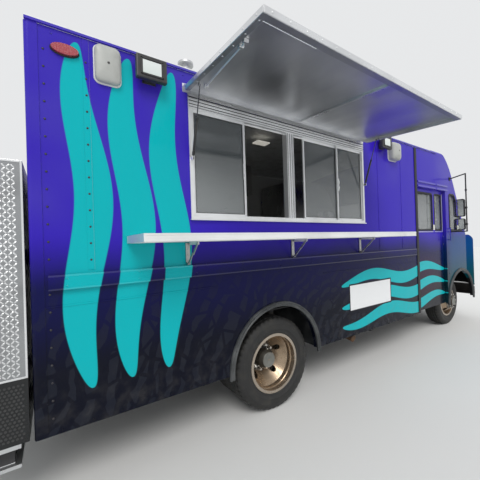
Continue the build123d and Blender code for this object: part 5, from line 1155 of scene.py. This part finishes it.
# The pale strip along the bumper and round its ends is a painted highlight.
bright = [slab(at(BUMPER_X, -1.09, HIGHLIGHT_STRIP_Z[0]), at(BUMPER_X + 0.003, 1.09, HIGHLIGHT_STRIP_Z[1]), bright_rim, 0.001)]
bright += [slab(at(GRILLE_X[0], -GRILLE_HALF, z), at(GRILLE_X[1], GRILLE_HALF, z + 0.012), bright_rim)
           for z in (0.744, 1.094)]
turn_lamps, rows = [], []
for sign in (-1, 1):
    bright.append(slab(at(BUMPER_X - 0.118, sign * 1.100, HIGHLIGHT_STRIP_Z[0]), at(BUMPER_X, sign * 1.103, HIGHLIGHT_STRIP_Z[1]),
                       bright_rim, 0.001))
    bright.append(slab(at(GRILLE_X[0], sign * (GRILLE_HALF - 0.018), 0.748),
                       at(GRILLE_X[1], sign * GRILLE_HALF, 1.102), bright_rim))
    for z in (0.70, 1.12):
        bright.append(slab(at(FRONT_X, sign * 0.27, z), at(4.810, sign * 0.33, z + 0.02), bright_rim, 0.003))
    turn_lamps.append(lathe([(0.036, 0.0), (0.034, 0.008), (0.022, 0.014), (0.001, 0.016)],
                            at(FRONT_X, sign * 0.760, 1.110), (1, 0, 0), amber_lens, 32))
    rows += [(at(BUMPER_X - 0.009, sign * y, z), OUT_FRONT) for y in (0.352, 0.432) for z in (0.47, 0.53)]
    rows += [(at(4.8, sign * 0.56, z), OUT_FRONT) for z in (0.70, 1.15)]
fit("front_bright_trim", bright, "vehicle", "aluminium")
fit("turn_lamps", turn_lamps, "vehicle", "lamp")
fit("front_bolts", [stamped(bolt, rows, nut_steel)], "vehicle", "chassis_black")

# Locker and step: bright tread plate with raised lozenges set two ways, narrow bright angles
# on the locker's edges as painted highlights, and below it a dark base of punched sheet.
LOCKER_X = (-2.262, -1.768)
LOCKER_Y = (-1.180, 0.040)
LOCKER_Z = (0.803, 1.970)
BASE_Z = 0.462
INSET = 0.014
LOZENGE_GAP = 0.0195
HOLE_GAP = 0.019
HOLE_ROW = 0.0185
EDGE_HIGHLIGHT = 0.010
raised_steel = metal("raised_steel", (0.78, 0.79, 0.80), 0.3)
plate = metal("tread_plate", (0.50, 0.51, 0.52), 0.26, (1, 1, 14), 0.3)
_, _, z = plate.place()
below = 1 - z.rise(LOCKER_Z[0] - 0.002, LOCKER_Z[0] + 0.002)
wear = plate.noise(5.0, 6.0).rise(0.4, 0.8)
tread = plate.mix(wear * 0.6, (0.34, 0.35, 0.36), (0.18, 0.18, 0.18))
plate.give(Base_Color=plate.mix(below, tread, (0.018, 0.019, 0.020)), Metallic=1 - below * 0.6)
dress(plate, "locker", "locker_door")
step_metal = metal("step_metal", (0.60, 0.61, 0.62), 0.34, (14, 1, 1))
_, _, z = step_metal.place()
web = z.band(0.360, 0.438)
step_metal.paint(web, (0.60, 0.61, 0.62), (0.03, 0.03, 0.032))
step_metal.give(Metallic=1 - web * 0.7)
dress(step_metal, "rear_bumper")
foot = [(-0.0118, 0, 0), (-0.006, 0, 0.0038), (0.006, 0, 0.0038), (0.0118, 0, 0), (0.006, 0, -0.0038),
        (-0.006, 0, -0.0038)]
crest = [(x * 0.55, -0.0012, z * 0.45) for x, _, z in foot]
sides = [(i, (i + 1) % 6, 6 + (i + 1) % 6, 6 + i) for i in range(6)]
lozenge = kept_for_stamping("lozenge", shape(foot + crest, sides + [tuple(range(6, 12))], raised_steel))


def lozenges(name, origin, along, up, lengths, out, body="vehicle", finish=raised_steel):
    """Lozenges all over a flat face, each at right angles to its neighbours."""
    origin, along, up = at(*origin), Vector(along), Vector(up)
    rows = []
    for i in range(int(lengths[0] / LOZENGE_GAP)):
        for j in range(int(lengths[1] / LOZENGE_GAP)):
            slant = math.radians(45 if (i + j) % 2 else -45)
            turn = (Euler(out).to_matrix() @ Matrix.Rotation(slant, 3, "Y")).to_euler()
            rows.append((origin + (along * (i + 0.5) + up * (j + 0.5)) * LOZENGE_GAP, tuple(turn)))
    fit(name, [stamped(lozenge, rows, finish)], body, "aluminium")


wide = LOCKER_X[1] - LOCKER_X[0] - 2 * INSET
deep = LOCKER_Y[1] - LOCKER_Y[0] - 2 * INSET
tall = LOCKER_Z[1] - LOCKER_Z[0] - 2 * INSET
left, low = LOCKER_X[0] + INSET, LOCKER_Z[0] + INSET
lozenges("lozenges_right", (left, LOCKER_Y[0], low), (1, 0, 0), (0, 0, 1), (wide, tall), OUT_RIGHT)
lozenges("lozenges_left", (left, LOCKER_Y[1], low), (1, 0, 0), (0, 0, 1), (wide, tall), OUT_LEFT)
lozenges("lozenges_top", (left, LOCKER_Y[0] + INSET, LOCKER_Z[1]), (1, 0, 0), (0, 1, 0), (wide, deep), OUT_UP)
lozenges("lozenges_door", (LOCKER_X[0] - 0.022, LOCKER_Y[0] + 0.055, low), (0, 1, 0), (0, 0, 1),
         (LOCKER_Y[1] - LOCKER_Y[0] - 0.09, tall), OUT_REAR, "locker_door")
lozenges("lozenges_step", (-2.275, 0.075, BASE_Z), (1, 0, 0), (0, 1, 0), (0.45, 1.07), OUT_UP,
         finish=step_metal)
# The narrow bright angles on the locker's edges are painted highlights along them.
edge_highlights = []
bottom, top = LOCKER_Z
inner_x = (LOCKER_X[0] + EDGE_HIGHLIGHT, LOCKER_X[1] - EDGE_HIGHLIGHT)
for x0, x1 in zip(LOCKER_X, inner_x):
    edge_highlights.append((x0, LOCKER_Y[0] + EDGE_HIGHLIGHT, top, x1, LOCKER_Y[1] - EDGE_HIGHLIGHT, top + 0.003))
    edge_highlights += [(x0, y, bottom, x1, y + lip, top) for y, lip in zip(LOCKER_Y, (-0.003, 0.003))]
for y, out in zip(LOCKER_Y, (-1, 1)):
    edge_highlights.append((LOCKER_X[0], y, top, LOCKER_X[1], y - EDGE_HIGHLIGHT * out, top + 0.003))
    edge_highlights += [(inner_x[0], y, z, inner_x[1], y + 0.003 * out, z + EDGE_HIGHLIGHT) for z in (bottom, top - EDGE_HIGHLIGHT)]
edge_highlights = [slab(at(*corners[:3]), at(*corners[3:]), bright_rim, 0.001) for corners in edge_highlights]
fit("locker_angles", edge_highlights, "vehicle", "aluminium")
paddle = [slab(at(-2.288, -0.085, 1.30), at(-2.284, 0.005, 1.44), chrome, 0.0015),
          slab(at(-2.300, -0.070, 1.33), at(-2.288, -0.012, 1.40), chrome, 0.004)]
fit("locker_paddle_latch", paddle, "locker_door", "stainless")
punched = mottled("punched_dark", 0.45, 40.0, (0.015, 0.016, 0.017), (0.06, 0.06, 0.06))
hole = turned_stamp("hole", [(0.0068, 0.0), (0.0055, 0.0014), (0.0042, 0.0003)], 8)
rows = []
for j in range(16):
    z = BASE_Z + 0.030 + HOLE_ROW * j
    first = 0.024 + 0.0095 * (j % 2)
    for x in (LOCKER_X[0] + first + HOLE_GAP * i for i in range(24)):
        rows += [(at(x, LOCKER_Y[0], z), OUT_RIGHT), (at(x, LOCKER_Y[1], z), OUT_LEFT)]
    rows += [(at(LOCKER_X[0], LOCKER_Y[0] + first + HOLE_GAP * i, z), OUT_REAR) for i in range(61)]
fit("base_punching", [stamped(hole, rows, punched)], "vehicle", "chassis_black")

# Rear door: a rubber set window, a chromed pull, a screwed kick plate, and a folded trim round
# the doorway.
path = [at(TAIL_X, y, z) for y, z in rounded((0.260, 1.750), (0.750, 2.350), 0.045, 6)]
fit("rear_light_gasket", [framed(path, (-1, 0, 0), gasket, seal)], "rear_door", "rubber")
metalwork = [slab(at(TAIL_X - 0.003, 0.150, 0.85), at(TAIL_X, 0.860, 1.10), mill, 0.001),
             slab(at(TAIL_X - 0.004, 0.135, 1.32), at(TAIL_X, 0.195, 1.53), chrome, 0.0015)]
fit("rear_door_metal", metalwork, "rear_door", "stainless")
rows = [(at(TAIL_X - 0.003, y, z), OUT_REAR) for y in (0.165, 0.505, 0.845) for z in (0.865, 1.085)]
fit("rear_door_screws", [stamped(screw, rows, zinc)], "rear_door", "stainless")
path = [at(TAIL_X, y, z) for y, z in rounded((0.092, 0.800), (0.918, 2.618), 0.020, 4)]
fold = [(-0.010, 0.0), (-0.010, 0.0035), (0.004, 0.0035), (0.004, 0.0)]
fit("rear_doorway_trim", [framed(path, (-1, 0, 0), fold, plain_wrap)], "vehicle", "blue_body")

# Studio: a pale floor, an even pale surround and one large soft lamp over the serving side.
# What the camera, gloss and glass see of the surround is paler than the light it gives.
GROUND = 45
GIVEN_LIGHT = ((0.96, 0.98, 1.0, 1), 0.80)
SEEN_LIGHT = ((0.80, 0.81, 0.82, 1), 1.0)
floor = mottled("studio_floor", 0.75, 0.6, (0.73, 0.73, 0.72), (0.76, 0.76, 0.75))
corners = [(-GROUND, -GROUND, 0), (GROUND, -GROUND, 0), (GROUND, GROUND, 0), (-GROUND, GROUND, 0)]
ground = shape(corners, [(0, 1, 2, 3)], floor)
ground.name = "studio_ground"
world = bpy.data.worlds.new("studio_surround")
bpy.context.scene.world = world
world.use_nodes = True
nodes, links = world.node_tree.nodes, world.node_tree.links
given, seen = nodes["Background"], nodes.new("ShaderNodeBackground")
for light, (colour, strength) in ((given, GIVEN_LIGHT), (seen, SEEN_LIGHT)):
    light.inputs["Color"].default_value = colour
    light.inputs["Strength"].default_value = strength
rays = nodes.new("ShaderNodeLightPath")
looks = rays.outputs["Is Camera Ray"]
for ray in ("Is Glossy Ray", "Is Transmission Ray"):
    either = nodes.new("ShaderNodeMath")
    either.operation = "MAXIMUM"
    links.new(looks, either.inputs[0])
    links.new(rays.outputs[ray], either.inputs[1])
    looks = either.outputs[0]
blend = nodes.new("ShaderNodeMixShader")
for index, output in enumerate((looks, given.outputs[0], seen.outputs[0])):
    links.new(output, blend.inputs[index])
links.new(blend.outputs[0], nodes["World Output"].inputs["Surface"])
lamp = bpy.data.lights.new("soft_key", "SUN")
lamp.energy = 1.5
lamp.angle = math.radians(28)
lamp.color = (1.0, 0.98, 0.95)
key = bpy.data.objects.new("soft_key", lamp)
bpy.context.collection.objects.link(key)
key.matrix_world = Vector((0.35, 0.75, -0.85)).to_track_quat("-Z", "Y").to_matrix().to_4x4()
bpy.context.scene.view_settings.view_transform = "Standard"

# The shapes that were only set at points go.
for spent in [piece for piece in bpy.data.objects if piece.name.endswith("_stamp")]:
    bpy.data.objects.remove(spent)
